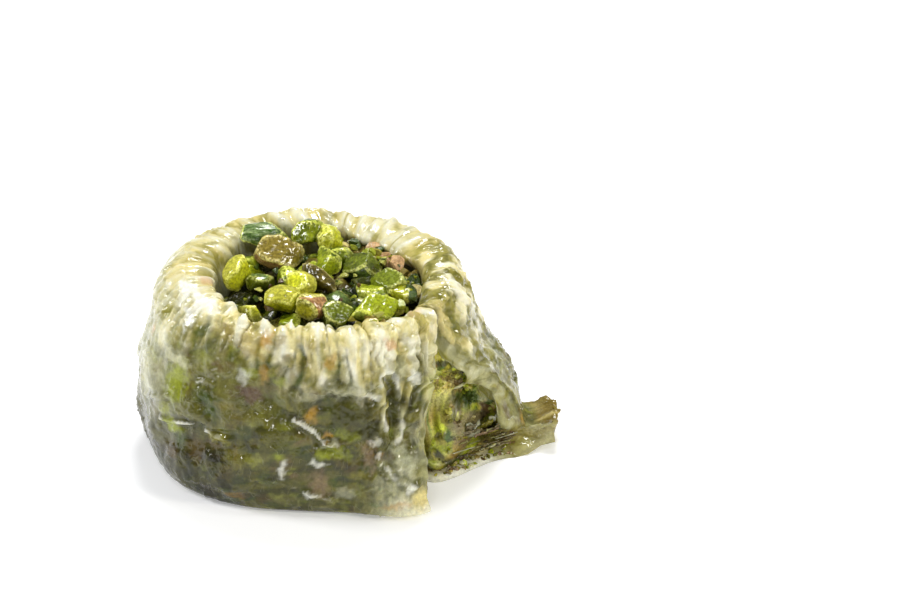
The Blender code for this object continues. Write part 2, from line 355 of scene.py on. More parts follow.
# Lower edges of loose leaves: polar angles and heights along each, and how far it stands off
looseLeaves = (
    (((-94, 21.8), (-86, 21.4), (-78, 21.2), (-72, 21.8), (-66, 22.8)), 1.0),
    (((-64, 15.5), (-60, 14.2), (-56, 15.0), (-50, 13.4)), 0.5),
    (((-150, 16.5), (-140, 14.0), (-128, 13.4), (-118, 14.6)), 0.3),
    (((-104, 20.0), (-97, 18.4), (-91, 17.0)), 0.35),
    (((150, 19.0), (165, 15.5), (178, 14.0), (190, 15.0)), 0.4),
    (((92, 22.0), (105, 19.5), (120, 18.0), (134, 20.5)), 0.5),
    (((40, 17.0), (55, 13.5), (66, 13.0), (78, 16.0)), 0.45),
    (((5, 21.0), (14, 19.0), (26, 18.5)), 0.45),
    (((110, 10.5), (130, 8.5), (150, 9.5)), 0.3),
)


def overhangAt(angle):
    away = np.abs((angle - ring["overhangMiddle"] + 180) % 360 - 180)
    return fadeOut(0.35 * ring["overhangHalfWidth"], ring["overhangHalfWidth"], away)


def angleAt(along, frontAngle, backAngle):
    crestEnd = ring["seamAngle"] - ring["sweep"]
    frontShare = fadeOut(0.0, 0.14, along)
    backShare = fadeIn(0.8, 1.0, along)
    return (ring["seamAngle"] - ring["sweep"] * along
            + (frontAngle - ring["seamAngle"]) * frontShare
            + (backAngle - 360 - crestEnd) * backShare)


def polar(radius, angle, height):
    turn = np.radians(angle)
    radius = radius + np.zeros_like(turn)
    return np.stack([radius * np.cos(turn), radius * np.sin(turn), height + np.zeros_like(turn)], -1)


def outerPoint(along, level, inset=0.0, height=None):
    levelHeight, radius, left, front, back, frontAngle, backAngle = ring[level]
    middle = 0.34 + 0.13 * (levelHeight / 30.5) ** 2
    onLeft = np.cos(math.pi / 2 * np.minimum(1.0, np.abs(along - middle) / 0.25)) ** 2
    reach = (radius + left * onLeft + front * fadeOut(0.02, 0.19, along)
             + back * fadeIn(0.64, 1.0, along))
    height = levelHeight if height is None else height
    return polar(reach - inset, angleAt(along, frontAngle, backAngle), height)


def innerPoint(along, radius, height):
    return polar(radius, angleAt(along, *ring["crest"][5:]), height)


def lipShift(along, across, forward):
    weight = fadeIn(0.972, 1.0, along)
    return weight[:, None] * (ring["lipAcross"] * across, -ring["lipForward"] * forward, 0)


def wallCorners(along):
    # the corners of each cross-section's outside
    nearSeam = fadeOut(0.0, 0.07, along) + fadeIn(0.93, 1.0, along)
    spread = ring["endSpread"] * nearSeam
    lean = overhangAt(angleAt(along, *ring["crest"][5:]))
    toe = fadeOut(0.0, 0.06, along)
    flap = fadeIn(0.925, 0.96, along)
    reach = ring["flapLength"] * flap + ring["toeLength"] * toe - 0.5 * (1 - flap) * (1 - toe)
    top = ring["footRounding"] - 0.5 * toe
    top = top + (ring["flapLift"] + ring["flapThickness"] - ring["footRounding"]) * flap
    under = 0.5 - 0.2 * toe + (ring["flapLift"] - 0.5) * flap
    cup = ring["cupRadius"]
    return np.stack([
        innerPoint(along, cup, 0.9),
        innerPoint(along, cup, 13.0),
        innerPoint(along, cup + 0.3 * spread, 26.6),
        innerPoint(along, cup + 0.8 + spread - ring["overhang"] * lean, 30.5 - 0.9 * (1 + lean)),
        outerPoint(along, "crest"),
        outerPoint(along, "shoulder"),
        outerPoint(along, "upper"),
        outerPoint(along, "middle"),
        outerPoint(along, "lower"),
        outerPoint(along, "base"),
        outerPoint(along, "base", -reach, top),
        outerPoint(along, "base", -reach + 0.6 * (1 - flap), under),
        outerPoint(along, "base", 1.8 - toe, 0.0) + lipShift(along, -0.2, 0.8),
        outerPoint(along, "base", 4.0, 0.0) + lipShift(along, 0.5, 0.9),
        innerPoint(along, 18.9, 0.0) + lipShift(along, 1.0, 1.0),
    ], 1)


def channelCorners(along, inset):
    # the same cross-section inside the wall, cut short under the gathered rim
    side, top = ring["wall"] + inset, ring["fillTop"] - inset
    cup, floor = ring["cupRadius"], ring["fillBottom"] + inset
    return np.stack([
        innerPoint(along, cup + side, floor + 1.0),
        innerPoint(along, cup + side, 13.0),
        innerPoint(along, cup + side + 0.2, top - 4.0),
        innerPoint(along, cup + side + 0.7, top - 1.2),
        outerPoint(along, "crest", 0.0, top),
        outerPoint(along, "shoulder", side + 0.2, top - 1.4),
        outerPoint(along, "upper", side, top - 5.0),
        outerPoint(along, "middle", side),
        outerPoint(along, "lower", side),
        outerPoint(along, "base", side + 0.8, 3.6),
        outerPoint(along, "base", side + 1.6, 2.6 + inset),
        outerPoint(along, "base", side + 2.2, floor + 0.3),
        outerPoint(along, "base", side + 3.0, floor),
        outerPoint(along, "base", side + 4.6, floor),
        innerPoint(along, 19.2 + inset, floor),
    ], 1)


def smoothLoop(corners, steps):
    # a smooth closed curve through the corners of each cross-section
    after = np.roll(corners, -1, axis=1)
    before = np.roll(corners, 1, axis=1)
    gap = np.linalg.norm(after - corners, axis=2, keepdims=True) + 1e-6
    gapBefore = np.roll(gap, 1, axis=1)
    slope = ((after - corners) / gap * gapBefore + (corners - before) / gapBefore * gap) / (gap + gapBefore)
    slopeAfter = np.roll(slope, -1, axis=1)
    rows = []
    for corner, count in enumerate(steps):
        for step in range(count):
            t = step / count
            rows.append((2 * t ** 3 - 3 * t ** 2 + 1) * corners[:, corner]
                        + (t ** 3 - 2 * t ** 2 + t) * gap[:, corner] * slope[:, corner]
                        + (3 * t ** 2 - 2 * t ** 3) * after[:, corner]
                        + (t ** 3 - t ** 2) * gap[:, corner] * slopeAfter[:, corner])
    rows.append(corners[:, 0])
    loop = np.stack(rows, 1)
    loop[..., 2] = np.maximum(loop[..., 2], 0.0)
    return loop


def lumps(points):
    # the coarse nuts beneath push the wall in and out
    outward = points * (1, 1, 0)
    radius = np.linalg.norm(outward, axis=1)
    outward /= radius[:, None] + 1e-9
    height = points[:, 2]
    share = fadeIn(1.0, 6.0, height) * fadeOut(22.0, 28.0, height) * fadeIn(19.0, 23.0, radius)
    return outward * (softNoise(points, ring["lumpSpacing"]) * ring["lumpHeight"] * share)[:, None]


def streaks(along, height, wide, high, shift, sideways=0.0):
    # soft noise drawn out along the wall or up it: sizes in millimetres
    arc = ring["wallLength"] * along
    return softNoise(np.stack([arc / wide + sideways, height / high, 0 * along], 1), 1.0, shift)


def pleatPhase(along):
    wander = 0.35 * softNoise(np.stack([along * 9.0, 0 * along + 3.1, 0 * along + 0.7], 1), 1.0)
    return ring["pleats"] * along + wander


def rimFold(along, station):
    # broad folds that cross the rim slantwise
    return streaks(along, station, 2.6, 1 / 0.45, 33.0, 0.8 * station)


# Creases of the film: corners along each, how high it stands and how wide it is
creases = (
    (((-25.0, -14.6, 11.4), (-22.4, -17.4, 12.3), (-19.7, -19.8, 13.6)), 0.45, 0.42),
    (((-17.3, -21.1, 13.0), (-15.4, -22.4, 12.6), (-13.0, -23.4, 12.9)), 0.4, 0.4),
    (((-2.9, -23.8, 21.6), (-1.6, -24.2, 18.3), (-3.0, -24.9, 17.2), (-0.5, -24.9, 15.4),
      (1.2, -25.1, 13.4), (3.4, -25.2, 12.4)), 0.6, 0.5),
    (((2.4, -23.6, 22.9), (7.2, -24.0, 21.9), (10.0, -23.6, 20.4), (12.6, -22.8, 17.6)), 0.55, 0.55),
    (((9.2, -24.6, 15.0), (10.9, -24.3, 13.2), (9.6, -25.2, 10.4), (11.6, -25.2, 7.6)), 0.5, 0.5),
    (((0.6, -25.4, 12.8), (4.8, -25.3, 13.4), (8.2, -24.8, 15.6)), 0.4, 0.45),
    (((-12.2, -24.3, 7.4), (-6.4, -25.6, 6.4), (0.4, -26.2, 3.8), (5.4, -26.6, 2.6)), 0.25, 0.5),
    (((-21.0, -16.4, 16.0), (-18.6, -18.6, 15.4), (-16.6, -20.2, 18.6)), 0.25, 0.5),
    (((-18.5, -18.2, 20.3), (-17.2, -18.8, 20.9), (-15.7, -20.0, 20.9)), 0.4, 0.35),
    (((-17.4, -20.1, 16.5), (-15.6, -21.2, 16.8)), 0.3, 0.35),
    (((-27.9, -8.7, 12.4), (-25.6, -13.5, 14.6), (-23.6, -15.4, 16.1)), 0.3, 0.4),
    (((8.2, -24.5, 14.5), (9.4, -25.0, 13.7), (10.5, -24.3, 12.2)), 0.45, 0.45),
    (((11.2, -25.3, 8.8), (12.5, -25.7, 8.3), (13.6, -24.6, 8.7)), 0.4, 0.4),
    (((13.6, -25.5, 6.4), (14.8, -25.0, 5.1), (15.9, -24.5, 5.3)), 0.5, 0.5),
    (((-6.0, -25.4, 10.0), (-4.9, -25.5, 8.9), (-5.4, -25.5, 7.1)), 0.35, 0.4),
    (((-1.7, -25.6, 4.6), (-0.7, -25.8, 3.8), (0.3, -25.8, 4.7)), 0.35, 0.4),
    (((11.3, -22.6, 23.2), (11.9, -23.2, 19.0), (12.2, -24.2, 14.4)), -0.8, 0.7),
)


def creaseHeight(points):
    total = np.zeros(len(points))
    for corners, high, wide in creases:
        nearest = np.full(len(points), 1e9)
        for start, end in zip(corners, corners[1:]):
            start, span = np.array(start), np.array(end) - np.array(start)
            share = np.clip((points - start) @ span / (span @ span), 0, 1)
            nearest = np.minimum(nearest, np.linalg.norm(points - start - share[:, None] * span, axis=1))
        beside = (nearest - 1.9 * wide) / wide
        total += high * (np.exp(-(nearest / wide) ** 2) - 0.45 * np.exp(-beside ** 2))
    return total


def looseLeafHeight(points, wobble):
    # a leaf stands off the wall above its lower edge, and fades out upward; the second value makes the film
    # paler in a band above the edge and darker below it, as painted shadow under the leaf
    angle = np.degrees(np.arctan2(points[:, 1], points[:, 0]))
    total, shade = np.zeros(len(points)), np.zeros(len(points))
    for corners, standOff in looseLeaves:
        turns = np.array([c[0] for c in corners], float)
        away = (angle - turns[0] + 180) % 360 - 180 + turns[0]
        edge = np.interp(away, turns, [c[1] for c in corners]) + 0.7 * wobble
        window = fadeIn(turns[0] - 1, turns[0] + 5, away) * fadeOut(turns[-1] - 5, turns[-1] + 1, away)
        above = points[:, 2] - edge
        total += standOff * window * fadeIn(-0.14, 0.14, above) * fadeOut(0.8, 5.0, above)
        total -= 0.35 * standOff * window * fadeOut(0.5, 4.5, -above) * (above < 0)
        shade += window * (fadeIn(0.1, 0.5, above) * fadeOut(0.8, 3.2, above)
                           - 1.2 * fadeOut(0.2, 1.3, -above) * (above < 0))
    return total, shade


def facets(points, size):
    # flat facets of stretched film, each tilted its own way
    found = []
    for p in points / size:
        centre = noise.voronoi(Vector(p))[1][0]
        found.append((Vector(p) - centre).dot(noise.cell_vector(centre * 13.7) - Vector((0.5, 0.5, 0.5))))
    return np.array(found) * size


palette = {
    "white": (0.85, 0.85, 0.74),
    "pearl": (0.56, 0.55, 0.34),
    "cream": (0.77, 0.70, 0.36),
    "butter": (0.72, 0.61, 0.24),
    "sand": (0.26, 0.20, 0.045),
    "peach": (0.66, 0.42, 0.22),
    "amber": (0.42, 0.23, 0.04),
    "orange": (0.46, 0.26, 0.03),
    "milk": (0.42, 0.405, 0.17),
    "film": (0.54, 0.54, 0.35),
    "mist": (0.20, 0.19, 0.06),
    "olive": (0.13, 0.125, 0.020),
    "darkOlive": (0.055, 0.055, 0.008),
    "yellowOlive": (0.27, 0.245, 0.03),
    "lime": (0.29, 0.33, 0.022),
    "yellowGreen": (0.42, 0.43, 0.10),
    "deepGreen": (0.05, 0.085, 0.012),
    "brown": (0.12, 0.075, 0.025),
    "greyBrown": (0.20, 0.165, 0.085),
    "pinkBrown": (0.26, 0.175, 0.10),
    "purple": (0.12, 0.07, 0.055),
}


class Coat:
    # the colour of each corner of a mesh, laid on in layers
    def __init__(self, paint):
        self.paint = paint

    def lay(self, layer, share):
        # a name from the palette, or the colours of another coat
        layer = palette[layer] if isinstance(layer, str) else layer
        self.paint = self.paint + (np.array(layer) - self.paint) * np.asarray(share)[..., None]

    def darken(self, share, tint=(1, 1, 1)):
        self.paint = self.paint * (1 - share[:, None] * tint)


# Spots on the skin: place, half its width and height, turn, colour and strength. The white spots are painted
# highlights and sheens on the wet film, and two dark olive spots are painted shade
skinSpotsAndPaintedLight = (
    (-22.0, -15.9, 19.0, 2.7, 3.6, -8, "lime", 0.9),
    (-21.9, -14.5, 22.3, 3.4, 0.9, 0, "pearl", 0.8),
    (-23.0, -17.2, 11.5, 2.0, 1.0, 0, "lime", 0.9),
    (-21.9, -18.7, 10.2, 1.6, 1.4, 0, "deepGreen", 0.7),
    (-23.0, -17.7, 7.0, 1.8, 1.2, 0, "brown", 0.6),
    (-19.2, -20.8, 9.4, 1.7, 2.2, 0, "brown", 0.55),
    (-15.3, -22.4, 12.3, 2.4, 0.8, 0, "yellowOlive", 0.6),
    (-12.4, -24.2, 10.7, 0.7, 1.7, 0, "brown", 0.5),
    (-15.9, -20.7, 17.7, 1.8, 2.6, 0, "deepGreen", 0.55),
    (-15.3, -19.1, 23.8, 1.6, 0.5, 0, "brown", 0.7),
    (-10.1, -22.5, 20.6, 2.5, 1.5, -10, "purple", 0.9),
    (-11.0, -21.3, 23.1, 1.2, 0.9, 0, "white", 0.5),
    (-7.6, -21.9, 23.9, 0.9, 1.7, 0, "orange", 0.6),
    (-5.0, -23.1, 23.3, 1.4, 1.0, 0, "lime", 0.6),
    (-0.6, -24.0, 21.4, 3.1, 1.3, 0, "pearl", 0.45),
    (-7.0, -19.8, 28.4, 1.0, 1.9, -8, "orange", 0.95),
    (-14.3, -13.0, 30.2, 1.1, 1.9, 0, "yellowOlive", 0.8),
    (-18.2, -3.9, 29.8, 0.8, 1.4, 0, "peach", 0.8),
    (-26.1, -6.4, 23.1, 0.7, 1.2, 0, "peach", 0.6),
    (-23.9, -7.1, 26.5, 0.9, 1.3, 0, "yellowOlive", 0.9),
    (-19.5, -13.5, 26.9, 1.3, 2.4, 20, "olive", 0.8),
    (-17.5, -15.1, 27.7, 1.2, 2.3, -20, "deepGreen", 0.8),
    (-20.1, -7.7, 29.4, 2.1, 2.6, 15, "white", 0.95),
    (-16.8, -11.6, 29.6, 2.3, 1.9, -10, "white", 0.95),
    (-19.3, -12.5, 27.7, 0.9, 1.7, 0, "white", 0.9),
    (-27.4, -8.5, 16.1, 1.9, 4.4, 0, "pearl", 0.7),
    (-0.5, -24.4, 17.9, 1.2, 1.2, -25, "orange", 0.75),
    (1.0, -25.1, 11.2, 1.3, 0.9, -10, "lime", 0.8),
    (-5.8, -25.4, 11.2, 1.0, 0.8, 0, "lime", 0.7),
    (-5.1, -25.5, 8.8, 0.7, 1.8, -10, "white", 0.7),
    (0.3, -25.3, 9.6, 1.2, 0.5, -15, "white", 0.8),
    (0.5, -25.8, 6.1, 1.7, 2.4, 0, "pinkBrown", 0.7),
    (-0.8, -25.8, 4.2, 0.9, 0.7, 0, "white", 0.7),
    (2.6, -22.9, 26.6, 1.2, 1.5, 0, "orange", 0.65),
    (5.0, -22.5, 27.7, 0.9, 1.3, 0, "white", 0.6),
    (7.8, -21.9, 27.8, 0.7, 3.2, 0, "white", 0.5),
    (11.7, -20.6, 28.3, 1.1, 0.7, -20, "peach", 0.9),
    # painted shade down the deep groove
    (12.2, -22.6, 19.1, 0.9, 3.9, 0, "darkOlive", 0.9),
    (15.2, -20.6, 22.5, 0.7, 1.9, 10, "white", 0.8),
    (13.1, -21.2, 24.7, 0.7, 1.9, 0, "pearl", 0.8),
    (9.3, -24.8, 13.4, 1.1, 0.6, -30, "white", 0.6),
    (8.4, -25.0, 11.0, 1.3, 2.9, 0, "pinkBrown", 0.65),
    (4.5, -24.6, 14.8, 2.2, 1.2, -8, "lime", 0.6),
    (3.2, -25.0, 11.5, 2.5, 1.1, -8, "lime", 0.65),
    (1.9, -24.7, 14.2, 0.6, 0.8, 0, "orange", 0.8),
    (2.3, -24.9, 13.1, 1.5, 0.5, 15, "pearl", 0.6),
    # painted shadow under the loose leaf's lower edge
    (5.6, -24.5, 17.6, 4.6, 2.4, 0, "darkOlive", 0.8),
    (5.4, -23.8, 22.2, 4.6, 1.3, 0, "film", 0.6),
    (12.1, -25.3, 9.2, 1.5, 2.0, 0, "olive", 0.5),
    (14.8, -25.0, 5.2, 1.2, 1.0, 20, "white", 0.85),
    (13.4, -24.2, 10.0, 1.6, 3.2, 15, "film", 0.6),
    (12.6, -25.4, 6.8, 0.8, 1.0, -20, "white", 0.6),
    (16.6, -24.5, 2.8, 1.7, 1.7, 0, "butter", 0.9),
    (12.5, -26.6, 2.7, 2.5, 0.8, 0, "amber", 0.55),
    (4.7, -26.0, 4.6, 1.8, 1.2, 0, "film", 0.45),
    (-1.5, -21.5, 28.1, 1.3, 1.3, 0, "white", 0.4),
    (-10.1, -19.0, 28.1, 1.5, 1.7, 0, "butter", 0.5),
    (-3.7, -22.4, 26.7, 1.0, 1.1, 0, "darkOlive", 0.5),
    (-0.7, -23.5, 24.0, 1.4, 1.0, 0, "darkOlive", 0.5),
    (-10.7, -23.2, 17.3, 2.7, 1.6, 0, "olive", 0.4),
    (-5.8, -25.3, 14.4, 2.3, 2.2, 0, "olive", 0.5),
    (-12.4, -24.3, 10.0, 2.4, 2.0, 0, "yellowOlive", 0.3),
    (-17.2, -18.7, 21.2, 1.8, 1.0, 0, "olive", 0.4),
    (-25.6, -12.4, 16.3, 2.3, 1.3, 0, "olive", 0.6),
    (-24.6, -15.3, 13.3, 1.4, 1.1, 0, "lime", 0.5),
    (15.4, -13.2, 29.6, 1.5, 1.3, 0, "peach", 0.55),
    (18.9, -11.7, 29.2, 1.7, 1.7, 0, "darkOlive", 0.9),
    (17.6, -14.0, 30.0, 0.5, 2.2, 0, "white", 0.6),
    (19.7, -11.3, 28.5, 1.1, 2.8, 0, "butter", 0.8),
    (21.0, -12.2, 23.1, 0.8, 3.0, 0, "butter", 0.7),
    (21.2, -4.2, 29.7, 1.6, 1.5, -20, "white", 0.85),
    (23.7, -3.9, 25.7, 2.0, 1.0, 0, "pearl", 0.7),
    (23.9, -7.3, 24.0, 1.2, 1.4, 0, "olive", 0.6),
    (25.4, -2.6, 21.1, 1.0, 1.2, 0, "white", 0.7),
    (28.0, -1.4, 16.6, 1.3, 2.6, 0, "pearl", 0.5),
    (25.7, -7.2, 18.9, 4.0, 1.6, 0, "olive", 0.4),
    (22.4, 14.4, 4.1, 1.6, 0.9, -20, "brown", 0.6),
    (27.1, -6.9, 15.9, 1.5, 1.1, 0, "white", 0.8),
    (28.8, 4.7, 1.9, 2.8, 2.8, 0, "pearl", 0.5),
    (32.3, -3.7, 4.8, 0.8, 2.2, 0, "amber", 0.6),
    (35.2, 2.6, 3.4, 2.1, 1.4, 0, "butter", 0.45),
    (37.6, -2.0, 4.2, 0.9, 3.2, 0, "butter", 0.7),
    (32.3, -6.8, 1.1, 2.7, 1.7, 0, "yellowOlive", 0.8),
    (20.1, -12.5, 0.5, 2.5, 2.1, 0, "butter", 0.7),
    (18.1, -12.1, 0.9, 1.1, 2.1, 0, "pearl", 0.5),
    (17.3, -18.3, 25.8, 1.7, 1.7, 0, "pearl", 0.6),
    (17.0, -5.7, 5.5, 1.0, 10.4, 0, "yellowGreen", 0.5),
    (18.1, -19.5, 20.5, 1.3, 2.3, 0, "yellowGreen", 0.6),
    (15.0, -22.1, 13.2, 1.3, 2.1, 0, "pearl", 0.4),
    (-12.8, 17.0, 30.3, 2.6, 1.1, 0, "butter", 0.6),
    (-22.2, -0.1, 30.0, 3.0, 3.1, 0, "butter", 0.5),
    (-18.0, 6.5, 29.7, 1.0, 2.8, 0, "yellowOlive", 0.5),
    (5.1, 14.9, 28.1, 2.0, 1.4, 0, "butter", 0.8),
    (9.2, 13.8, 26.4, 3.4, 2.2, 0, "amber", 0.35),
    (12.0, 11.5, 24.1, 2.1, 1.3, 0, "peach", 0.45),
    (16.4, 3.0, 28.7, 4.0, 1.1, 0, "butter", 0.6),
    (2.5, 16.4, 28.5, 1.4, 0.9, 0, "peach", 0.4),
)

# Painted highlights: white sheens of the wet film near the top of the left wall, three corners each
paintedSheens = (
    ((-21.8, -3.9, 29.3), (-18.8, -5.6, 30.0), (-20.5, -9.5, 28.6)),
    ((-19.0, -7.4, 29.9), (-15.1, -11.6, 30.2), (-18.4, -11.8, 28.5)),
    ((-20.4, -10.2, 28.2), (-18.5, -11.0, 28.8), (-19.2, -14.2, 26.8)),
)


# Bits of nut close under the film
nutBits = {
    "seed": 11,
    "count": 520,
    "size": (0.4, 1.9),
    "strength": (0.35, 0.9),
    # how often each colour comes
    "odds": {"lime": 1.7, "yellowOlive": 2.6, "deepGreen": 2.6, "brown": 2.0, "darkOlive": 4.2,
             "yellowGreen": 1.0, "pinkBrown": 1.3, "amber": 0.5, "mist": 3.2},
}


def layNutBits(coat, shifted, centres, quiet):
    rng = np.random.default_rng(nutBits["seed"])
    names = list(nutBits["odds"])
    odds = np.array(list(nutBits["odds"].values()))
    for centre in centres[rng.choice(len(centres), nutBits["count"])]:
        size = rng.uniform(*nutBits["size"])
        name = names[rng.choice(len(names), p=odds / odds.sum())]
        squat = (0.8, 0.8, rng.uniform(0.9, 2.2))
        reach = np.linalg.norm((shifted - centre) * squat, axis=1) / size
        coat.lay(name, fadeOut(0.6, 1.15, reach) * rng.uniform(*nutBits["strength"]) * quiet)


def layPaintedSheens(coat, points):
    for corners in paintedSheens:
        first, second, third = (np.array(corner) for corner in corners)
        flatNormal = np.cross(second - first, third - first)
        flatNormal /= np.linalg.norm(flatNormal)
        inside = np.full(len(points), 9.0)
        for start, end, other in ((first, second, third), (second, third, first), (third, first, second)):
            inward = np.cross(flatNormal, end - start)
            inward *= np.sign((other - start) @ inward) / np.linalg.norm(inward)
            inside = np.minimum(inside, (points - start) @ inward)
        near = fadeOut(1.5, 2.5, np.abs((points - first) @ flatNormal))
        # painted highlight: white inside each triangle, close to its plane
        coat.lay("white", fadeIn(-0.15, 0.2, inside) * near)


def laySkinSpotsAndPaintedLight(coat, points, normals, shifted):
    ragged = 0.45 * softNoise(points, 0.7, 57.0)
    for x, y, z, across, up, turn, name, strength in skinSpotsAndPaintedLight:
        gap = shifted - (x, y, z)
        normal = normals[np.argmin(((points - (x, y, z)) ** 2).sum(1))]
        side = np.array((-y, x, 0)) / math.hypot(x, y)
        a, b, c = gap @ side, gap @ np.cross(normal, side), gap @ normal
        cos, sin = math.cos(math.radians(turn)), math.sin(math.radians(turn))
        level, climb = a * cos + b * sin, b * cos - a * sin
        far = np.sqrt((level / across) ** 2 + (climb / up) ** 2 + (c / 2.5) ** 2)
        coat.lay(name, fadeOut(0.35, 1.35, far + ragged) * strength * 0.9)


def paintSkin(points, normals, along, ridge, station, layers, leafShade, crinkle):
    height = points[:, 2]
    radius = np.hypot(points[:, 0], points[:, 1])
    warp = np.stack([softNoise(points, 1.9, s) + 0.5 * softNoise(points, 0.8, s + 5)
                     for s in (1.3, 7.7, 4.1)], 1)
    wide, coarse = softNoise(points, 9.0, 6.0), softNoise(points, 3.8, 2.0)
    middle, fine = softNoise(points, 2.0, 9.0), softNoise(points, 0.9, 3.0)
    leftShare = fadeIn(0.24, 0.30, along) * fadeOut(0.55, 0.65, along)
    lowLeft = leftShare * fadeOut(9, 15, height)
    rightFolds = fadeOut(0.07, 0.12, along)
    backSlope = fadeIn(0.86, 0.97, along)
    coat = Coat(palette["olive"] + 0 * points)
    coat.lay("darkOlive", fadeIn(-0.15, 0.3, coarse) * 0.85)
    coat.lay("yellowOlive", fadeIn(0.05, 0.4, middle) * 0.55 * (1 - 0.5 * lowLeft))
    coat.lay("lime", fadeIn(0.22, 0.45, softNoise(points * (1, 1, 1.8), 1.9, 14.0)) * 0.4 * (1 - lowLeft))
    coat.lay("brown", fadeIn(0.15, 0.45, softNoise(points, 3.0, 21.0)) * 0.6)
    coat.lay("deepGreen", fadeIn(0.12, 0.4, softNoise(points, 3.1, 28.0)) * 0.6)

    onWall = (station > 5) & (station < 10) & (height > 1.5)
    layNutBits(coat, points + 0.6 * warp, points[onWall], 1 - 0.6 * lowLeft)

    # level streaks of nut and film on the lower wall
    level = streaks(along, height, 5.0, 1.1, 35.0, 0.4 * middle)
    lowWall = fadeOut(16, 22, height) * (1 - 0.7 * rightFolds)
    coat.lay("darkOlive", fadeIn(0.06, 0.32, level) * 0.75 * lowWall)
    coat.lay("mist", fadeIn(0.10, 0.38, -level) * 0.55 * lowWall)

    # milky film over the nuts, streaked along the folds, whiter where more leaves lie on each other. Partly
    # painted light: paler higher up the wall and in patches of painted sheen on the left wall, and darker
    # under the loose leaves' lower edges as painted shadow
    streak = streaks(along, height, 1.6, 8.0, 3.0)
    upper = fadeIn(11, 25, height)
    leftTop = fadeIn(0.30, 0.38, along) * fadeOut(0.5, 0.62, along) * fadeIn(9, 24, height)
    farLeft = fadeIn(0.39, 0.44, along) * fadeOut(0.55, 0.65, along) * fadeIn(6, 14, height)
    leftFilmAndSheen = fadeIn(0.29, 0.35, along) * fadeOut(0.43, 0.48, along) * fadeIn(7, 14, height)
    # patches of milky film and painted sheen on the left wall
    milkAndSheenPatches = fadeIn(-0.12, 0.14, softNoise(points * (1, 1, 0.7), 5.0, 58.0))
    farPatches = farLeft * (0.36 + 1.1 * wide + 1.3 * coarse + 0.6 * middle) * (0.25 + 0.75 * milkAndSheenPatches)
    farPatches = farPatches + leftFilmAndSheen * (0.5 + 0.5 * coarse)
    mist = np.clip(0.20 + 0.8 * wide + 0.5 * streak + 0.22 * leafShade, 0, 0.8)
    coat.lay("mist", mist * (0.15 + 0.85 * upper))
    milk = (-0.10 + 0.34 * wide + 0.24 * streak + 0.10 * fine + 0.42 * leftTop + farPatches + 0.03 * layers
            + 0.14 * leafShade + 0.26 * crinkle + 0.08 * upper + 0.10 * leftShare + 0.16 * farLeft
            + 0.20 * backSlope + rightFolds * (0.32 * fadeOut(5, 11, height) - 0.06))
    milk = np.clip(milk, 0.0, 0.75)
    coat.lay("milk", milk * (1 - 0.8 * leftShare))
    coat.lay("film", milk * 0.8 * leftShare)
    # painted shade: the wall darker lower down, where it faces away from the light above, less so by the
    # folds, the back slope and the far left
    paintedLowShade = fadeOut(4, 19, height) * (1 - 0.8 * rightFolds) * (1 - backSlope) * (1 - 0.6 * farLeft)
    coat.darken((0.20 + 0.46 * fadeIn(0.18, 0.28, along)) * paintedLowShade)
    frontWall = fadeIn(0.06, 0.10, along) * fadeOut(0.26, 0.34, along) * fadeOut(20, 27, height)
    frontWall = frontWall * (0.14 + 0.24 * fadeIn(4, 9, height))
    coat.darken(frontWall, (1, 1, 1.5))

    # cream where the leaves are gathered: the rim, the folds by the front end and the back end's slope
    low = (25.4 - 2.0 * leftTop - 5.0 * rightFolds - 8.0 * backSlope + 2.2 * wide + 2.8 * coarse
           - 5.5 * (ridge - 0.5) * (1 + 1.2 * rightFolds) - 0.6 * layers)
    cream = fadeIn(0, 1, (height - low) / 5.5)
    foldCream = 0.45 + 0.55 * fadeIn(0.55, 0.95, ridge)
    cream = cream * (1 - rightFolds * fadeOut(24, 29, height) * (1 - foldCream))
    cream = cream * (1 - 0.55 * backSlope * fadeOut(26, 30, height) * fadeIn(-0.25, 0.25, coarse))
    cream = np.where(radius < 17.2, fadeIn(23.5, 28.5, height), cream)
    cream = np.clip(cream * (0.95 + 0.3 * middle), 0, 1)
    gathered = Coat(palette["cream"] + 0 * points)
    fold = rimFold(along, station)
    # white on the fold and pleat crests, butter and yellow-olive in their hollows: partly the leaves' own
    # colour, partly painted highlight and painted shade
    gathered.lay("white", fadeIn(-0.05, 0.3, fold + 0.3 * middle) * 0.65)
    gathered.lay("butter", fadeIn(0.02, 0.3, -fold + 0.3 * coarse) * 0.75)
    gathered.lay("yellowOlive", fadeIn(0.16, 0.42, -fold + 0.3 * fine) * 0.7)
    gathered.lay("yellowOlive", fadeIn(0.18, 0.45, softNoise(points, 2.2, 47.0)) * 0.65)
    gathered.lay("butter", fadeOut(0.15, 0.6, ridge) * 0.6)
    gathered.lay("yellowOlive", fadeOut(0.0, 0.42, ridge) * 0.85)
    gathered.lay("white", fadeIn(0.78, 1.0, ridge) * 0.4)
    frontLeft = fadeIn(0.13, 0.17, along) * fadeOut(0.28, 0.34, along) * fadeIn(-0.2, 0.2, middle)
    gathered.lay("sand", frontLeft * 0.7 * (station > 4.4))
    gathered.lay("film", 0.5 * leftTop * (station > 4.6))
    byRightRim = fadeIn(0.80, 0.87, along) * fadeIn(0.0, 0.25, softNoise(points, 3.0, 53.0) + 0.2)
    gathered.lay("yellowOlive", byRightRim * 0.9)
    gathered.lay("olive", byRightRim * fadeIn(-0.1, 0.2, fine) * 0.75)
    dim = 0.14 * fadeIn(0.3, 0.4, along) * fadeOut(0.78, 0.86, along)
    gathered.darken(dim)
    gathered.darken(0.3 * dim, (0, 0, 1))
    coat.lay(gathered.paint, cream)

    # darker folds beside the front end, paler at its foot
    foldsMiddle = rightFolds * fadeIn(8, 13, height) * fadeOut(22, 27, height)
    coat.darken(0.36 * foldsMiddle, (1, 1, 1.5))
    frontFoot = fadeOut(0.05, 0.09, along) * fadeOut(8, 12, height)
    coat.lay("film", 0.5 * frontFoot * fadeIn(-0.2, 0.2, coarse))
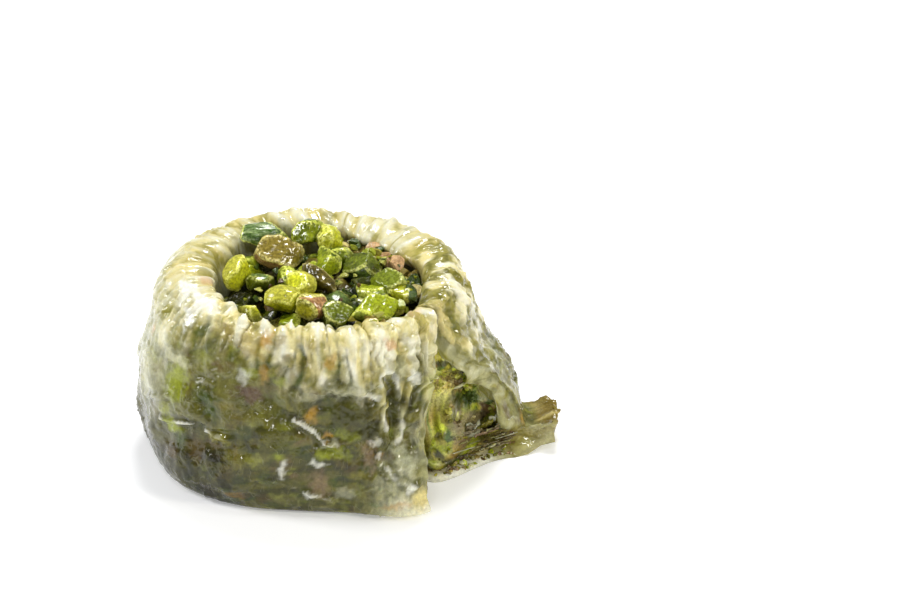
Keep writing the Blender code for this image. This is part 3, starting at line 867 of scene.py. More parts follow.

    # the flap, the lip and the foot's edge: leaves without nuts beneath; the foot and the lip are also
    # partly painted light
    flap = fadeIn(0.925, 0.955, along) * (station > 9.3) * fadeOut(6.5, 9.0, height)
    coat.lay("sand", flap * 0.95)
    coat.darken(0.25 * flap, (1, 1.2, 1.8))
    flapStreak = streaks(along, radius, 0.8, 6.0, 8.0)
    coat.lay("butter", flap * fadeIn(0.0, 0.5, flapStreak) * 0.15)
    coat.lay("darkOlive", flap * fadeIn(0.05, 0.5, -flapStreak) * 0.3)
    edge = np.maximum(fadeIn(0.985, 1.0, along), fadeOut(0.0, 0.012, along))
    coat.lay("butter", edge * 0.55 * fadeIn(-0.3, 0.3, middle + 0.3) * fadeIn(22, 27, height))
    coat.lay("milk", edge * 0.6 * fadeIn(-0.2, 0.3, middle) * fadeOut(22, 27, height))
    # the foot in cream and white: pale leaves, and painted light standing in for the light through them and
    # their sheen
    foot = fadeOut(0.0, 0.075, along + 0.02 * coarse) * fadeOut(1.8, 4.6, height + 1.6 * middle)
    coat.lay("cream", foot * 0.95)
    coat.lay("white", foot * fadeIn(-0.3, 0.2, coarse) * 0.7)
    # the lip in cream and white: pale leaves, painted paler still as painted light where the lip lies in
    # shadow
    lip = fadeIn(0.955, 0.985, along) * fadeOut(2.2, 4.0, height) * (station > 11.2)
    coat.lay("cream", lip * 0.95)
    coat.lay("white", lip * 0.85)
    coat.lay("yellowOlive", lip * 0.75 * fadeIn(27.0, 29.5, points[:, 0]))

    # painted highlights along the raised creases, and painted shade in the dips beside them
    line = creaseHeight(points + 0.2 * warp)
    coat.lay("white", fadeIn(0.14, 0.36, line) * 0.62)
    coat.lay("darkOlive", fadeIn(0.04, 0.2, -line) * 0.6)
    layPaintedSheens(coat, points + 0.25 * warp)
    # coloured spots, with painted highlights in white and painted shade in two dark olive spots
    laySkinSpotsAndPaintedLight(coat, points, normals, points + 0.8 * warp)
    return np.clip(coat.paint, 0.01, 0.95), cream


def shapeSkin():
    obj, column, row, alongRow = layGrid("phyllo_skin", skin)
    mesh = obj.data
    places = smoothLoop(wallCorners(alongRow), skin["steps"])
    stops = np.concatenate([[i + k / n for k in range(n)] for i, n in enumerate(skin["steps"])] + [[15.0]])
    points = places[column, row]
    along, station = alongRow[column], stops[row]
    points = points + lumps(points)
    setPoints(mesh, points)
    normals = normalsOf(mesh)
    middle = points.mean(0)
    outside = np.flatnonzero((station > 6) & (station < 8))
    if (normals[outside] * (points[outside] - middle)).sum() < 0:
        mesh.flip_normals()
        normals = -normals

    height = points[:, 2]
    # pleats over the rim: deep and narrow at the front right, broad and shallow elsewhere
    frontRight = fadeOut(0.10, 0.17, along)
    front = fadeOut(0.28, 0.36, along) * (1 - frontRight)
    phaseRow = pleatPhase(alongRow)
    lean = 0.55 * streaks(along, height, 9.0, 8.0, 2.0)
    lean = lean * (1.4 - 0.8 * frontRight) * fadeIn(31, 18, height)
    phase = phaseRow[column] + lean
    pleat = np.abs(np.cos(math.pi * phase)) ** 0.8
    which = np.floor(phase + 0.5)
    uneven = 0.15 + 1.1 * ((np.sin(which * 12.9898) * 43758.5453) % 1.0)
    small = np.abs(np.cos(math.pi * (2.3 * phase + 0.7 * softNoise(points, 5.0, 17.0)))) ** 0.7
    outerRim = fadeIn(13.0, 26.0, height) * (station >= 4)
    innerRim = fadeIn(24.0, 28.0, height) * (station < 4)
    outerRim = outerRim * (frontRight + (1 - frontRight) * (0.25 + 0.75 * fadeIn(23, 29.5, height)))
    outerRim = outerRim * (1 - frontRight * fadeOut(18, 27, height))
    rim = outerRim + innerRim
    quietBack = fadeIn(0.45, 0.55, along) * fadeOut(0.84, 0.9, along)
    depth = 0.15 - 0.06 * quietBack + 0.57 * frontRight + 0.14 * front
    push = -skin["rimPleat"] * (1 - pleat) * uneven * rim * depth
    push -= skin["smallPleat"] * (1 - small) * rim * (0.05 + 0.95 * frontRight + 0.15 * front)
    buckled = points + 0.5 * softNoise(points, 1.3, 84.0)[:, None]
    crumpled = 0.5 - np.abs(softNoise(buckled, 3.2, 83.0)) * 2.2
    push += 0.75 * crumpled * rim * (0.05 + 0.30 * frontRight + 0.75 * front)
    push += 0.9 * rimFold(along, station) * rim * (1 - 0.8 * frontRight)
    # thin creases that run over the broad folds
    thin = np.abs(streaks(along, height, 2.4, 11.0, 91.0, 2.2 * lean))
    thin = (1 - np.minimum(1, thin / 0.09)) * rim * (1 - 0.6 * frontRight) * (1 - 0.6 * quietBack)
    thin = thin * (frontRight + (1 - frontRight) * fadeIn(23.0, 27.5, height))
    push -= skin["thinCrease"] * thin

    # curtain folds beside the front end, and a few beside the back end
    outer = (station >= 4.5) * (station < 10.5)
    curtain = fadeOut(0.06, 0.115, along) + 0.45 * fadeIn(0.86, 0.95, along)
    sway = 1.7 * softNoise(points, 6.0, 23.0) + 1.1 * softNoise(points, 2.8, 24.0)
    fold = np.abs(np.cos(math.pi * (1.75 * phaseRow[column] + sway))) ** 0.8
    fading = fadeIn(1.5, 6.0, height) * (0.3 + 0.7 * fadeIn(12, 22, height))
    fading = fading * (0.55 + 0.9 * np.clip(softNoise(points, 4.0, 27.0) + 0.5, 0, 1))
    push -= skin["curtainFold"] * (1 - fold) * curtain * outer * fading

    # wrinkles, film creases and the edges of single leaves
    upright = 1 - np.abs(streaks(along, height, 1.5, 7.0, 31.0)) * 2.6
    level = 1 - np.abs(streaks(along, height, 7.0, 1.3, 37.0)) * 2.6
    onLeft = fadeIn(0.24, 0.34, along) * fadeOut(0.6, 0.7, along)
    wall = (station >= 4.0) * (station < 11.5)
    smoothFilm = onLeft * fadeOut(22, 27, height)
    push += skin["wrinkle"] * wall * (upright * (1 - 0.85 * onLeft) + level * 0.55 * onLeft
                                      + 0.6 * softNoise(points, 1.6, 43.0) * (1 - smoothFilm))
    push += creaseHeight(points) * wall
    warped = points + 0.9 * np.stack([softNoise(points, 2.6, s) for s in (61.0, 62.0, 63.0)], 1)
    stretched = np.stack([warped[:, 0], warped[:, 1], warped[:, 2] * np.where(onLeft > 0.5, 1.5, 0.55)], 1)
    crinkle = 1 - np.minimum(1, np.abs(softNoise(stretched, 3.1, 65.0)) / 0.10)
    crinkle = crinkle ** 1.5 * fadeIn(-0.05, 0.25, softNoise(points, 5.5, 66.0))
    push += skin["crinkle"] * crinkle * (station >= 3.6) * (station < 11.5) * (1 - 0.4 * smoothFilm)
    tilt = fadeIn(-0.2, 0.2, softNoise(points, 9.0, 71.0)) * (1 - 0.45 * smoothFilm)
    tilt = tilt * (1 - 0.6 * onLeft * fadeIn(22, 27, height))
    push += skin["facetTilt"] * np.clip(facets(warped, skin["facetSize"]), -2.2, 2.2) * tilt * wall
    wobble = softNoise(points, 2.2, 75.0)
    standOff, leafShade = looseLeafHeight(points, wobble)
    push += standOff * wall
    # crumpled film beside the front end
    crushed = 0.5 - np.abs(softNoise(points + 0.6 * softNoise(points, 1.1, 86.0)[:, None], 2.1, 87.0)) * 2.4
    crushed = crushed * fadeIn(0.0, 0.03, along) * fadeOut(0.07, 0.13, along)
    push += 0.42 * crushed * outer * fadeIn(1.0, 4.0, height)
    # the rim isn't even
    push += 0.55 * softNoise(points, 9.0, 81.0) * fadeIn(24, 28, height)
    leaves = softNoise(points, 7.5, 51.0) + 0.22 * softNoise(points, 1.7, 55.0)
    layers = sum(fadeIn(edge - 0.018, edge + 0.018, leaves) for edge in (-0.22, 0.0, 0.2, 0.36))
    push += skin["leafEdge"] * layers * wall - 0.25 * wall
    ridge = np.clip(pleat * 0.6 + 0.4 * np.where(curtain > 0.5, fold, small), 0, 1)
    quiet = fadeIn(0.0, 1.5, height) * np.where(station < 3.0, fadeIn(20, 25, height), 1.0)
    # ragged ends and a ragged flap
    endNoise = 1.4 * softNoise(points, 5.5, 95.0) + 0.35 * softNoise(points, 1.7, 96.0)
    frontOut = places[0].mean(0) - places[4].mean(0)
    backOut = places[-1].mean(0) - places[-5].mean(0)
    tug = fadeOut(0.0, 0.03, along) * fadeIn(2, 6, height)
    tugBack = fadeIn(0.975, 1.0, along) * fadeIn(0.4, 1.0, height)
    shift = (tug * endNoise * 1.3)[:, None] * frontOut / np.linalg.norm(frontOut)
    shift = shift + (tugBack * endNoise * 0.8)[:, None] * backOut / np.linalg.norm(backOut)
    flap = fadeIn(0.925, 0.96, along) * (station > 9.6) * (station < 12)
    push += flap * (0.9 * softNoise(points, 1.6, 98.0) + 0.5 * softNoise(points, 0.7, 99.0))
    points = points + normals * (push * quiet)[:, None] + shift
    points[:, 2] = np.maximum(points[:, 2], 0.0)
    setPoints(mesh, points)

    ridge = np.clip(ridge - 0.5 * thin, 0, 1)
    paint, cream = paintSkin(points, normals, along, ridge, station, layers, leafShade, crinkle)
    setAttribute(mesh, "paint", paint, "FLOAT_COLOR")
    setAttribute(mesh, "cream", cream)
    setAttribute(mesh, "along", along)
    setAttribute(mesh, "calm", fadeIn(0.26, 0.36, along) * fadeOut(0.82, 0.9, along))

    mergeDoubles(obj)
    lipRows = closeSkinEnds(mesh, places)
    mesh.shade_smooth()
    finishPiece(obj, "phyllo", "phyllo_wrap")
    print("phyllo skin:", len(mesh.polygons), "faces")
    return obj, lipRows


def hemReach(points, centre, end):
    # how far the torn leaves hang over the cut, in millimetres
    away = points - centre
    away = away / (np.linalg.norm(away, axis=1)[:, None] + 1e-9)
    outward = centre * (1, 1, 0) / np.linalg.norm(centre * (1, 1, 0))
    up, out = away[:, 2], away @ outward
    if end == 1.0:
        reach = 0.9 + 0.8 * fadeIn(0.3, 0.9, up) + 5.2 * fadeIn(0.1, 0.7, out) * fadeOut(0.4, 0.9, up)
    else:
        reach = 0.8 + 4.2 * fadeIn(0.3, 0.9, up) + 1.2 * fadeIn(0.2, 0.9, -out)
    return reach * (1 + 0.5 * softNoise(points, 2.4, 13.0 + end) + 0.25 * softNoise(points, 0.9, 15.0))


# Patches on the torn leaves: colour, size, shift, start, strength, and whether they stay low down
hemPatches = (
    ("pearl", 2.2, 3.0, 0.0, 0.7, False),
    ("yellowOlive", 1.6, 9.0, 0.08, 0.75, False),
    ("olive", 2.0, 14.0, 0.12, 0.75, False),
    ("brown", 1.8, 22.0, 0.24, 0.7, False),
    ("yellowOlive", 9.0, 0.0, -2.0, 0.9, True),
    ("sand", 1.9, 27.0, -0.1, 0.8, True),
    ("butter", 1.3, 29.0, 0.12, 0.7, True),
    ("brown", 1.2, 31.0, 0.18, 0.6, True),
)


def paintHem(points, share):
    # pale leaves with the nuts showing through, yellower low down and white along the torn edge
    coat = Coat(np.array(palette["milk"]) * 0.8 + 0 * points)
    low = fadeOut(2.0, 4.5, points[:, 2])
    for name, size, shift, start, strength, staysLow in hemPatches:
        patch = fadeIn(start, start + 0.3, softNoise(points, size, shift)) * strength
        coat.lay(name, patch * low if staysLow else patch)
    coat.lay("pearl", fadeIn(0.86, 1.0, share) * 0.6)
    return coat.paint


# Rows of the closed ends: share of the way to the channel, share of the hem, depth into the piece
hemRows = (
    (0.15, 0, 0.1), (0.3, 0, -0.12), (0.42, 0, 0.2), (0.55, 0, -0.05), (0.68, 0, 0.15), (0.85, 0, -0.1),
    (1.0, 0, -0.3), (1.0, 0.08, -0.55), (1.0, 0.16, -0.75), (1.0, 0.25, -0.9), (1.0, 0.34, -1.0),
    (1.0, 0.43, -1.05), (1.0, 0.52, -1.05), (1.0, 0.61, -1.05), (1.0, 0.7, -1.0), (1.0, 0.79, -0.95),
    (1.0, 0.88, -0.9), (1.0, 0.95, -0.85), (1.0, 1.0, -0.75), (1.0, 1.0, -0.5), (1.0, 0.6, -0.6),
    (1.0, 0.2, -0.3), (1.0, 0.0, 0.3), (1.0, 0.0, 2.0),
)
hangingRows = 19  # the rows after these go back up behind the hem


def closeSkinEnds(mesh, places):
    # turns each open end in over the leaves' edges, hangs torn leaves over the cut and closes it
    bm = bmesh.new()
    bm.from_mesh(mesh)
    paint = bm.verts.layers.float_color["paint"]
    cream = bm.verts.layers.float["cream"]
    alongLayer = bm.verts.layers.float["along"]
    rim = [v for v in bm.verts if any(e.is_boundary for e in v.link_edges)]
    lipRows = []
    for end, inside in ((0.0, 0.03), (1.0, 0.97)):
        outline = places[0 if end == 0.0 else -1][:-1]
        channel = smoothLoop(channelCorners(np.array([end, inside]), 0.0), skin["steps"])
        inward = (channel[1].mean(0) - channel[0].mean(0))
        inward /= np.linalg.norm(inward)
        last = orderedBoundary([v for v in rim if abs(v[alongLayer] - end) < 0.01])
        start = np.array([v.co for v in last])
        match = [int(np.argmin(((outline - p) ** 2).sum(1))) for p in start]
        edge = channel[0][match]
        centre = channel[0].mean(0)
        toCentre = centre - edge
        toCentre /= np.linalg.norm(toCentre, axis=1)[:, None]
        reach = hemReach(edge, centre, end)
        reach = sum(np.roll(reach, step) for step in range(-5, 6)) / 11
        loose = 0.3 + 0.7 * fadeOut(22, 25, edge[:, 2])
        for number, (share, hem, depth) in enumerate(hemRows):
            target = start + (edge - start) * share
            ruffle = softNoise(target + hem * 3.0, 1.6) + 0.5 * softNoise(target, 0.8, 5.0)
            target = target + toCentre * (reach * hem)[:, None]
            if hem > 0:
                spots = np.stack([reach * hem / 2.2, edge[:, 2] / 1.7, edge[:, 0] / 1.7], 1)
                sway = 0.5 * softNoise(spots, 1.0, 6.0) * loose * min(1, hem * 4)
                target = target + inward * (1.35 * depth * loose + sway)[:, None]
            else:
                target = target + inward * (depth + 0.45 * ruffle * (0 < share < 1))[:, None]
            flatPart = fadeOut(1.0, 3.0, edge[:, 2]) * (0 < share) * (hem == 0 or number < hangingRows)
            uneven = 0.5 + 0.9 * softNoise(target, 1.5, 71.0) + 0.5 * softNoise(target, 0.7, 72.0)
            target[:, 2] += flatPart * uneven
            target[:, 2] = np.maximum(target[:, 2], 0.25)
            shades = paintHem(target, hem if number < hangingRows else 0.0)
            if end == 1.0 and hem == 0 and 0.1 < share:
                lipRows.append(target[(edge[:, 2] < 2.6) & (target[:, 0] > 17.0) & (target[:, 0] < 31.5)])
            fresh = []
            taken = fadeIn(0.1, 0.5, share) * 0.7 if hem == 0 else 0.85
            for vert, place, shade in zip(last, target, shades):
                copy = bm.verts.new(place)
                old = np.array(vert[paint][:3])
                copy[paint] = (*(old + (shade - old) * taken), 1)
                copy[cream] = vert[cream]
                fresh.append(copy)
            joinRows(bm, last, fresh)
            last = fresh
        bm.faces.new(last)
    bmesh.ops.recalc_face_normals(bm, faces=bm.faces)
    bm.to_mesh(mesh)
    bm.free()
    return lipRows


def orderedBoundary(verts):
    # the corners of one open end, in order round it
    inside = set(verts)
    loop, current, previous = [verts[0]], verts[0], None
    while True:
        nexts = [e.other_vert(current) for e in current.link_edges if e.is_boundary]
        nexts = [v for v in nexts if v in inside and v is not previous]
        if not nexts or nexts[0] is loop[0]:
            return loop
        previous, current = current, nexts[0]
        if current in loop[-2:]:
            return loop
        loop.append(current)


def phylloLook():
    look = Look("soakedPhyllo")
    places = look.places()
    paint = look.attribute("paint", output=0)
    fine = look.grain(places, 0.5, 4.0, 0.6)
    cloud = look.grain(places, 1.8, 3.0, 0.5)
    dapple = (fine - 0.5) * (1.0 - look.attribute("cream") * 0.7) + 1.0
    shade = look.shaded(paint, dapple)
    # fine pale creases in the film
    crease = abs(look.grain(look.stretched(places, (1.0, 1.0, 0.5)), 1.7, 1.0, 0.4) - 0.5)
    lines = look.between(crease, 0.0, 0.022, 1.0, 0.0) * look.between(cloud, 0.48, 0.62)
    shade = look.blend(lines * 0.1, shade, colour(0.66, 0.64, 0.38))
    swell = look.grain(places, 1.5, 1.0, 0.4)
    small = abs(look.grain(places, 0.8, 1.0, 0.5) - 0.5)
    wet = look.between(look.grain(places, 4.0, 2.0), 0.40, 0.58)
    calm = 1 - look.attribute("calm") * 0.6
    return look.finish({
        "Base Color": shade,
        "Roughness": look.between(cloud, 0.35, 0.7, 0.03, 0.12),
        "Normal": look.bump(calm * (swell + lines * 0.25 + small * wet * 1.3), 0.17, 0.9),
        "Specular IOR Level": 0.37,
        "Subsurface Weight": 0.22,
        "Subsurface Radius": (1.0, 0.8, 0.35),
        "Subsurface Scale": 0.0012,
    })


# The ground pistachio, which shows at both cut ends

ground = {
    "gap": 0.4,
    "stations": 44,
    "steps": (3, 26, 12, 8, 14, 14, 22, 22, 18, 8, 5, 4, 5, 12, 6),
    "endRings": 30,
    "crumbRelief": 0.85,
    "crumbsAtEnd": 230,
    "crumbsOnLip": 260,
    # dark hollows in the cut faces: place, radius, depth
    "hollows": (
        ((22.3, -8.4, 11.6), 1.5, 3.2),
        ((24.6, -6.6, 8.8), 1.2, 1.2),
        ((20.6, -9.4, 6.6), 1.0, 1.0),
        ((22.0, -20.0, 9.0), 1.5, 2.0),
        ((19.5, -19.0, 14.5), 1.2, 1.5),
    ),
    "colours": ("yellowGreen", "lime", "darkOlive", "deepGreen", "yellowOlive", "sand", "lime", "olive",
                "greyBrown", "yellowOlive", "brown"),
    "lipColours": ("greyBrown", "pinkBrown", "yellowOlive", "sand", "olive", "lime", "pearl", "brown"),
    "lipShare": 0.6,
}

groundSpotsAndPaintedLight = (
    # place, radius, colour, strength
    # paler crumbs on the left of the cut: partly their own colour, partly painted light where the cut lies
    # in shadow
    ((19.6, -8.8, 13.0), 3.6, "butter", 0.55),
    ((19.0, -9.0, 10.5), 2.4, "yellowGreen", 0.7),
    ((19.0, -9.6, 8.5), 2.2, "sand", 0.6),
    # painted shade in the deepest hollow of the cut
    ((22.6, -8.4, 11.4), 2.1, "darkOlive", 1.0),
    ((25.2, -6.4, 12.2), 2.2, "lime", 0.6),
    ((24.4, -7.4, 10.6), 2.2, "deepGreen", 0.95),
    ((27.5, -5.4, 11.0), 2.6, "pearl", 0.45),
    ((22.6, -8.6, 6.0), 3.2, "greyBrown", 0.75),
    ((25.4, -6.8, 5.4), 2.6, "greyBrown", 0.7),
    ((23.6, -9.4, 3.8), 1.8, "pinkBrown", 0.8),
    ((20.6, -10.4, 2.6), 1.6, "amber", 0.7),
    ((27.6, -6.4, 3.6), 2.6, "yellowOlive", 0.85),
)


def crumbRelief(points, size, shift):
    # rounded crumbs packed side by side, from 0 between them to 1 on top
    found = []
    for p in points / size:
        near = noise.voronoi(Vector(p) + Vector((shift, 0, 0)))[0]
        found.append(min(1.0, (near[1] - near[0]) * 1.6))
    return np.array(found)


def paintGround(points, shift):
    names, chosen = ground["colours"], []
    warped = points + 0.5 * np.stack([softNoise(points, 1.1, s) for s in (1.0, 4.0, 8.0)], 1)
    for p in warped / 1.35:
        spot = noise.voronoi(Vector(p) + Vector((shift, 0, 0)))[1][0]
        chosen.append(palette[names[int(abs(noise.cell(spot * 7.7)) * 997) % len(names)]])
    paint = np.array(chosen) * 1.4
    # painted light: colours left of about 21 to 23 mm across and from about 5 to 9 mm up are made up to 2.2
    # times paler, for the left of the back end's cut, which lies in shadow
    paint *= (1 + 1.2 * fadeOut(20.8, 22.8, points[:, 0]) * fadeIn(5, 9, points[:, 2]))[:, None]
    coat = Coat(paint * (0.8 + 0.5 * softNoise(points, 0.7, 12.0))[:, None])
    for place, size, name, strength in groundSpotsAndPaintedLight:
        reach = np.linalg.norm(points - place, axis=1) / size
        coat.lay(name, fadeOut(0.5, 1.15, reach + 0.35 * softNoise(points, 1.2, 19.0)) * strength)
    return np.clip(coat.paint, 0.008, 0.9)


def shapeGround():
    obj, column, row, alongRow = layGrid("ground_pistachio", ground)
    mesh = obj.data
    places = smoothLoop(channelCorners(alongRow, ground["gap"]), ground["steps"])
    spill = places[-1]
    share = (ground["lipShare"] * fadeOut(3.0, 10.0, spill[:, 2])
             * fadeOut(23.0, 30.0, np.hypot(spill[:, 0], spill[:, 1])))
    places[-1] = spill + np.stack([ring["lipAcross"] * share, -ring["lipForward"] * share, 0 * share], 1)
    points = places[column, row]
    setPoints(mesh, points + lumps(points))
    mergeDoubles(obj)
    bm = bmesh.new()
    bm.from_mesh(mesh)
    cutFaces = []
    for end, beside in ((0, 1), (-1, -2)):
        edge = orderedBoundary([v for v in bm.verts if any(e.is_boundary for e in v.link_edges)
                                and ((places[end] - np.array(v.co)) ** 2).sum(1).min() < 4.0])
        start = np.array([v.co for v in edge])
        inward = places[beside].mean(0) - places[end].mean(0)
        inward /= np.linalg.norm(inward)
        centre = start.mean(0)
        last, rows = edge, []
        for ringNumber in range(1, ground["endRings"]):
            share = 1 - ringNumber / ground["endRings"]
            rows.append([bm.verts.new(p) for p in centre + (start - centre) * share])
        hub = bm.verts.new(centre)
        for fresh in rows:
            joinRows(bm, last, fresh)
            last = fresh
        for i in range(len(last)):
            bm.faces.new((last[i], last[(i + 1) % len(last)], hub))
        face = [v for fresh in rows for v in fresh] + [hub]
        flatPoints = np.array([v.co for v in face])
        outward = -inward
        relief = ground["crumbRelief"] * (crumbRelief(flatPoints, 2.1, 3.0) - 0.5)
        relief += 0.5 * ground["crumbRelief"] * (crumbRelief(flatPoints, 1.0, 9.0) - 0.5)
        relief += 0.9 * softNoise(flatPoints, 3.5, 5.0)
        for place, size, depth in ground["hollows"]:
            reach = np.linalg.norm(flatPoints - place, axis=1) / size
            relief -= depth * np.exp(-reach ** 2)
        relief -= 0.9 * fadeIn(12.0, 17.0, flatPoints[:, 2]) + 1.0 * fadeIn(24.5, 27.0, flatPoints[:, 0])
        for vert, push in zip(face, relief):
            vert.co += Vector(outward * push)
        cutFaces.append((face, outward))
    bmesh.ops.recalc_face_normals(bm, faces=bm.faces)
    spots = [(np.array([v.co for v in face]), outward) for face, outward in cutFaces]
    bm.to_mesh(mesh)
    bm.free()
    points = pointsOf(mesh)
    setAttribute(mesh, "paint", paintGround(points, 2.0), "FLOAT_COLOR")
    mesh.shade_smooth()
    mesh.materials.append(groundLook("groundPistachio"))
    finishPiece(obj, "ground_pistachio", "pistachio_filling")
    print("ground pistachio:", len(mesh.polygons), "faces")
    return spots


def groundLook(name):
    look = Look(name)
    places = look.places()
    paint = look.attribute("paint", output=0)
    fine = look.grain(places, 0.4, 4.0, 0.6)
    stops = ((0.32, (0.6, 0.58, 0.5)), (0.5, (1.0, 1.0, 1.0)), (0.7, (1.35, 1.33, 1.15)))
    speckle = look.add("ShaderNodeValToRGB", {"stops": stops}, {0: fine})
    shade = look.blend(1.0, paint, speckle, "MULTIPLY")
    return look.finish({
        "Base Color": shade,
        "Roughness": look.between(fine, 0.4, 0.65, 0.05, 0.22),
        "Normal": look.bump(fine, 0.14, 0.7),
        "Specular IOR Level": 0.5,
        "Subsurface Weight": 0.15,
        "Subsurface Radius": (1.0, 0.9, 0.3),
        "Subsurface Scale": 0.0008,
    })


# Chopped nuts

heap = {
    "radius": 16.2,
    "bottom": 2.4,
    "middle": 27.8,
    "drop": 1.5,
    "slope": 0.06,
    "coreSink": 3.9,
    # painted shade: the core's colours are darkened to this share, for the gaps between the chips
    "coreGapShade": 0.16,
    # how finely the standing-out and the loose chips are cut
    "mainVoxel": 0.24,
    "looseVoxel": 0.32,
    "looseChips": 64,
    "seed": 7,
    # loose chips lie at two depths in turn
    "chipDepths": (1.1, 2.7),
    "chipKinds": ("lime", "lime", "green", "green", "green", "darkGreen", "darkGreen", "darkGreen", "brown"),
    # darker kinds for the deeper loose chips, partly as painted shade in the gaps
    "deepKinds": ("darkGreen", "brown", "darkGreen", "green"),
    "smallCrumbs": 90,
    "crumbColours": ("lime", "yellowGreen", "deepGreen", "yellowOlive", "brown", "deepGreen"),
    "crumbsByRim": 120,
    "rimColours": ("lime", "yellowGreen", "lime", "butter", "peach", "yellowOlive", "deepGreen", "sand",
                   "lime"),
}

# Chips that stand out: place across and back, lift, length, width, thickness, turn, lean, kind
mainChips = (
    (-9.6, 11.2, 2.9, 8.4, 5.4, 4.6, 8, (-0.35, 0.1), "veined"),
    (-6.9, 6.4, 2.3, 7.6, 5.8, 4.8, -12, (0.1, 0.1), "brown"),
    (-13.0, 1.4, 1.9, 6.2, 4.4, 4.8, 78, (0.3, -0.2), "lime"),
    (-2.1, 12.8, 2.1, 5.6, 4.8, 4.8, 35, (-0.2, 0.2), "green"),
    (1.3, 12.2, 1.8, 5.0, 4.4, 4.6, 110, (0.1, 0.3), "lime"),
    (1.2, 4.0, 1.6, 6.4, 4.0, 4.6, 84, (-0.3, 0.0), "green"),
    (6.4, 4.6, 1.4, 6.8, 5.2, 4.4, -18, (0.1, -0.1), "darkGreen"),
    (-0.2, -1.0, 1.4, 7.0, 3.4, 3.4, -36, (0.4, 0.2), "brown"),
    (-2.9, -2.8, 1.5, 4.8, 4.2, 3.8, 20, (0.2, 0.3), "lime"),
    (-5.5, -7.2, 1.4, 6.0, 5.2, 4.8, -24, (0.35, -0.2), "lime"),
    (-1.0, -8.8, 1.9, 5.4, 4.8, 4.4, 52, (0.2, 0.2), "pink"),
    (3.2, -10.4, 1.2, 5.6, 4.2, 3.8, -10, (0.1, 0.1), "darkGreen"),
    (8.8, -8.9, 1.7, 9.8, 4.4, 4.0, 4, (0.25, 0.0), "green"),
    (10.8, -1.4, 1.5, 6.0, 4.6, 4.8, -30, (0.2, 0.1), "darkGreen"),
    (13.4, -3.8, 1.6, 4.0, 3.6, 3.6, 15, (0.1, -0.2), "lime"),
)

nutKinds = {
    # flesh deep, flesh bright, pale edge, skin deep, skin bright
    "lime": ((0.19, 0.20, 0.004), (0.58, 0.60, 0.025), (0.86, 0.85, 0.24),
             (0.24, 0.25, 0.008), (0.52, 0.50, 0.06)),
    "green": ((0.06, 0.09, 0.003), (0.31, 0.37, 0.012), (0.70, 0.74, 0.14),
              (0.04, 0.07, 0.004), (0.28, 0.35, 0.05)),
    "darkGreen": ((0.035, 0.05, 0.003), (0.16, 0.20, 0.012), (0.58, 0.60, 0.18),
                  (0.018, 0.035, 0.004), (0.15, 0.22, 0.05)),
    "veined": ((0.10, 0.15, 0.006), (0.40, 0.48, 0.03), (0.70, 0.74, 0.24),
               (0.05, 0.11, 0.012), (0.52, 0.62, 0.30)),
    "brown": ((0.05, 0.04, 0.004), (0.22, 0.17, 0.025), (0.66, 0.58, 0.22),
              (0.05, 0.022, 0.006), (0.27, 0.16, 0.06)),
    "pink": ((0.20, 0.19, 0.008), (0.58, 0.54, 0.04), (0.84, 0.80, 0.30),
             (0.34, 0.17, 0.06), (0.66, 0.42, 0.22)),
}


def heapHeight(x, y):
    radius = math.hypot(x, y)
    lean = float(overhangAt(np.array(math.degrees(math.atan2(y, x)))))
    return heap["middle"] + heap["slope"] * y - (heap["drop"] + 2.4 * lean) * (radius / heap["radius"]) ** 2


def insideCup(points):
    # draws corners in to the cup, whose rim leans in at the back right
    x, y, z = points.T
    lean = overhangAt(np.degrees(np.arctan2(y, x))) * fadeIn(24.5, 26.5, z)
    opening = 0.2 * np.maximum(0, z - 27.0) + 1.2 * np.maximum(0, z - 29.9)
    reach = heap["radius"] - 0.1 - ring["overhang"] * lean + opening * (1 - lean)
    share = np.minimum(1.0, reach / (np.hypot(x, y) + 1e-6))
    return points * np.stack([share, share, 1 + 0 * share], 1)


def looseChips(rng):
    golden = 180 * (3 - math.sqrt(5))
    found = []
    for i in range(heap["looseChips"]):
        x, y, _ = polar(14.4 * math.sqrt((i + 0.5) / heap["looseChips"]), golden * i + 11, 0)
        x, y = x + rng.uniform(-0.7, 0.7), y + rng.uniform(-0.7, 0.7)
        length = rng.uniform(4.2, 6.4)
        size = (rng.uniform(-0.2, 1.1), length,
                length * rng.uniform(0.6, 0.85), length * rng.uniform(0.55, 0.75))
        turn = rng.uniform(0, 180)
        if all(math.hypot(x - m[0], y - m[1]) > 2.2 for m in mainChips):
            found.append((x, y, *size, turn))
    return found


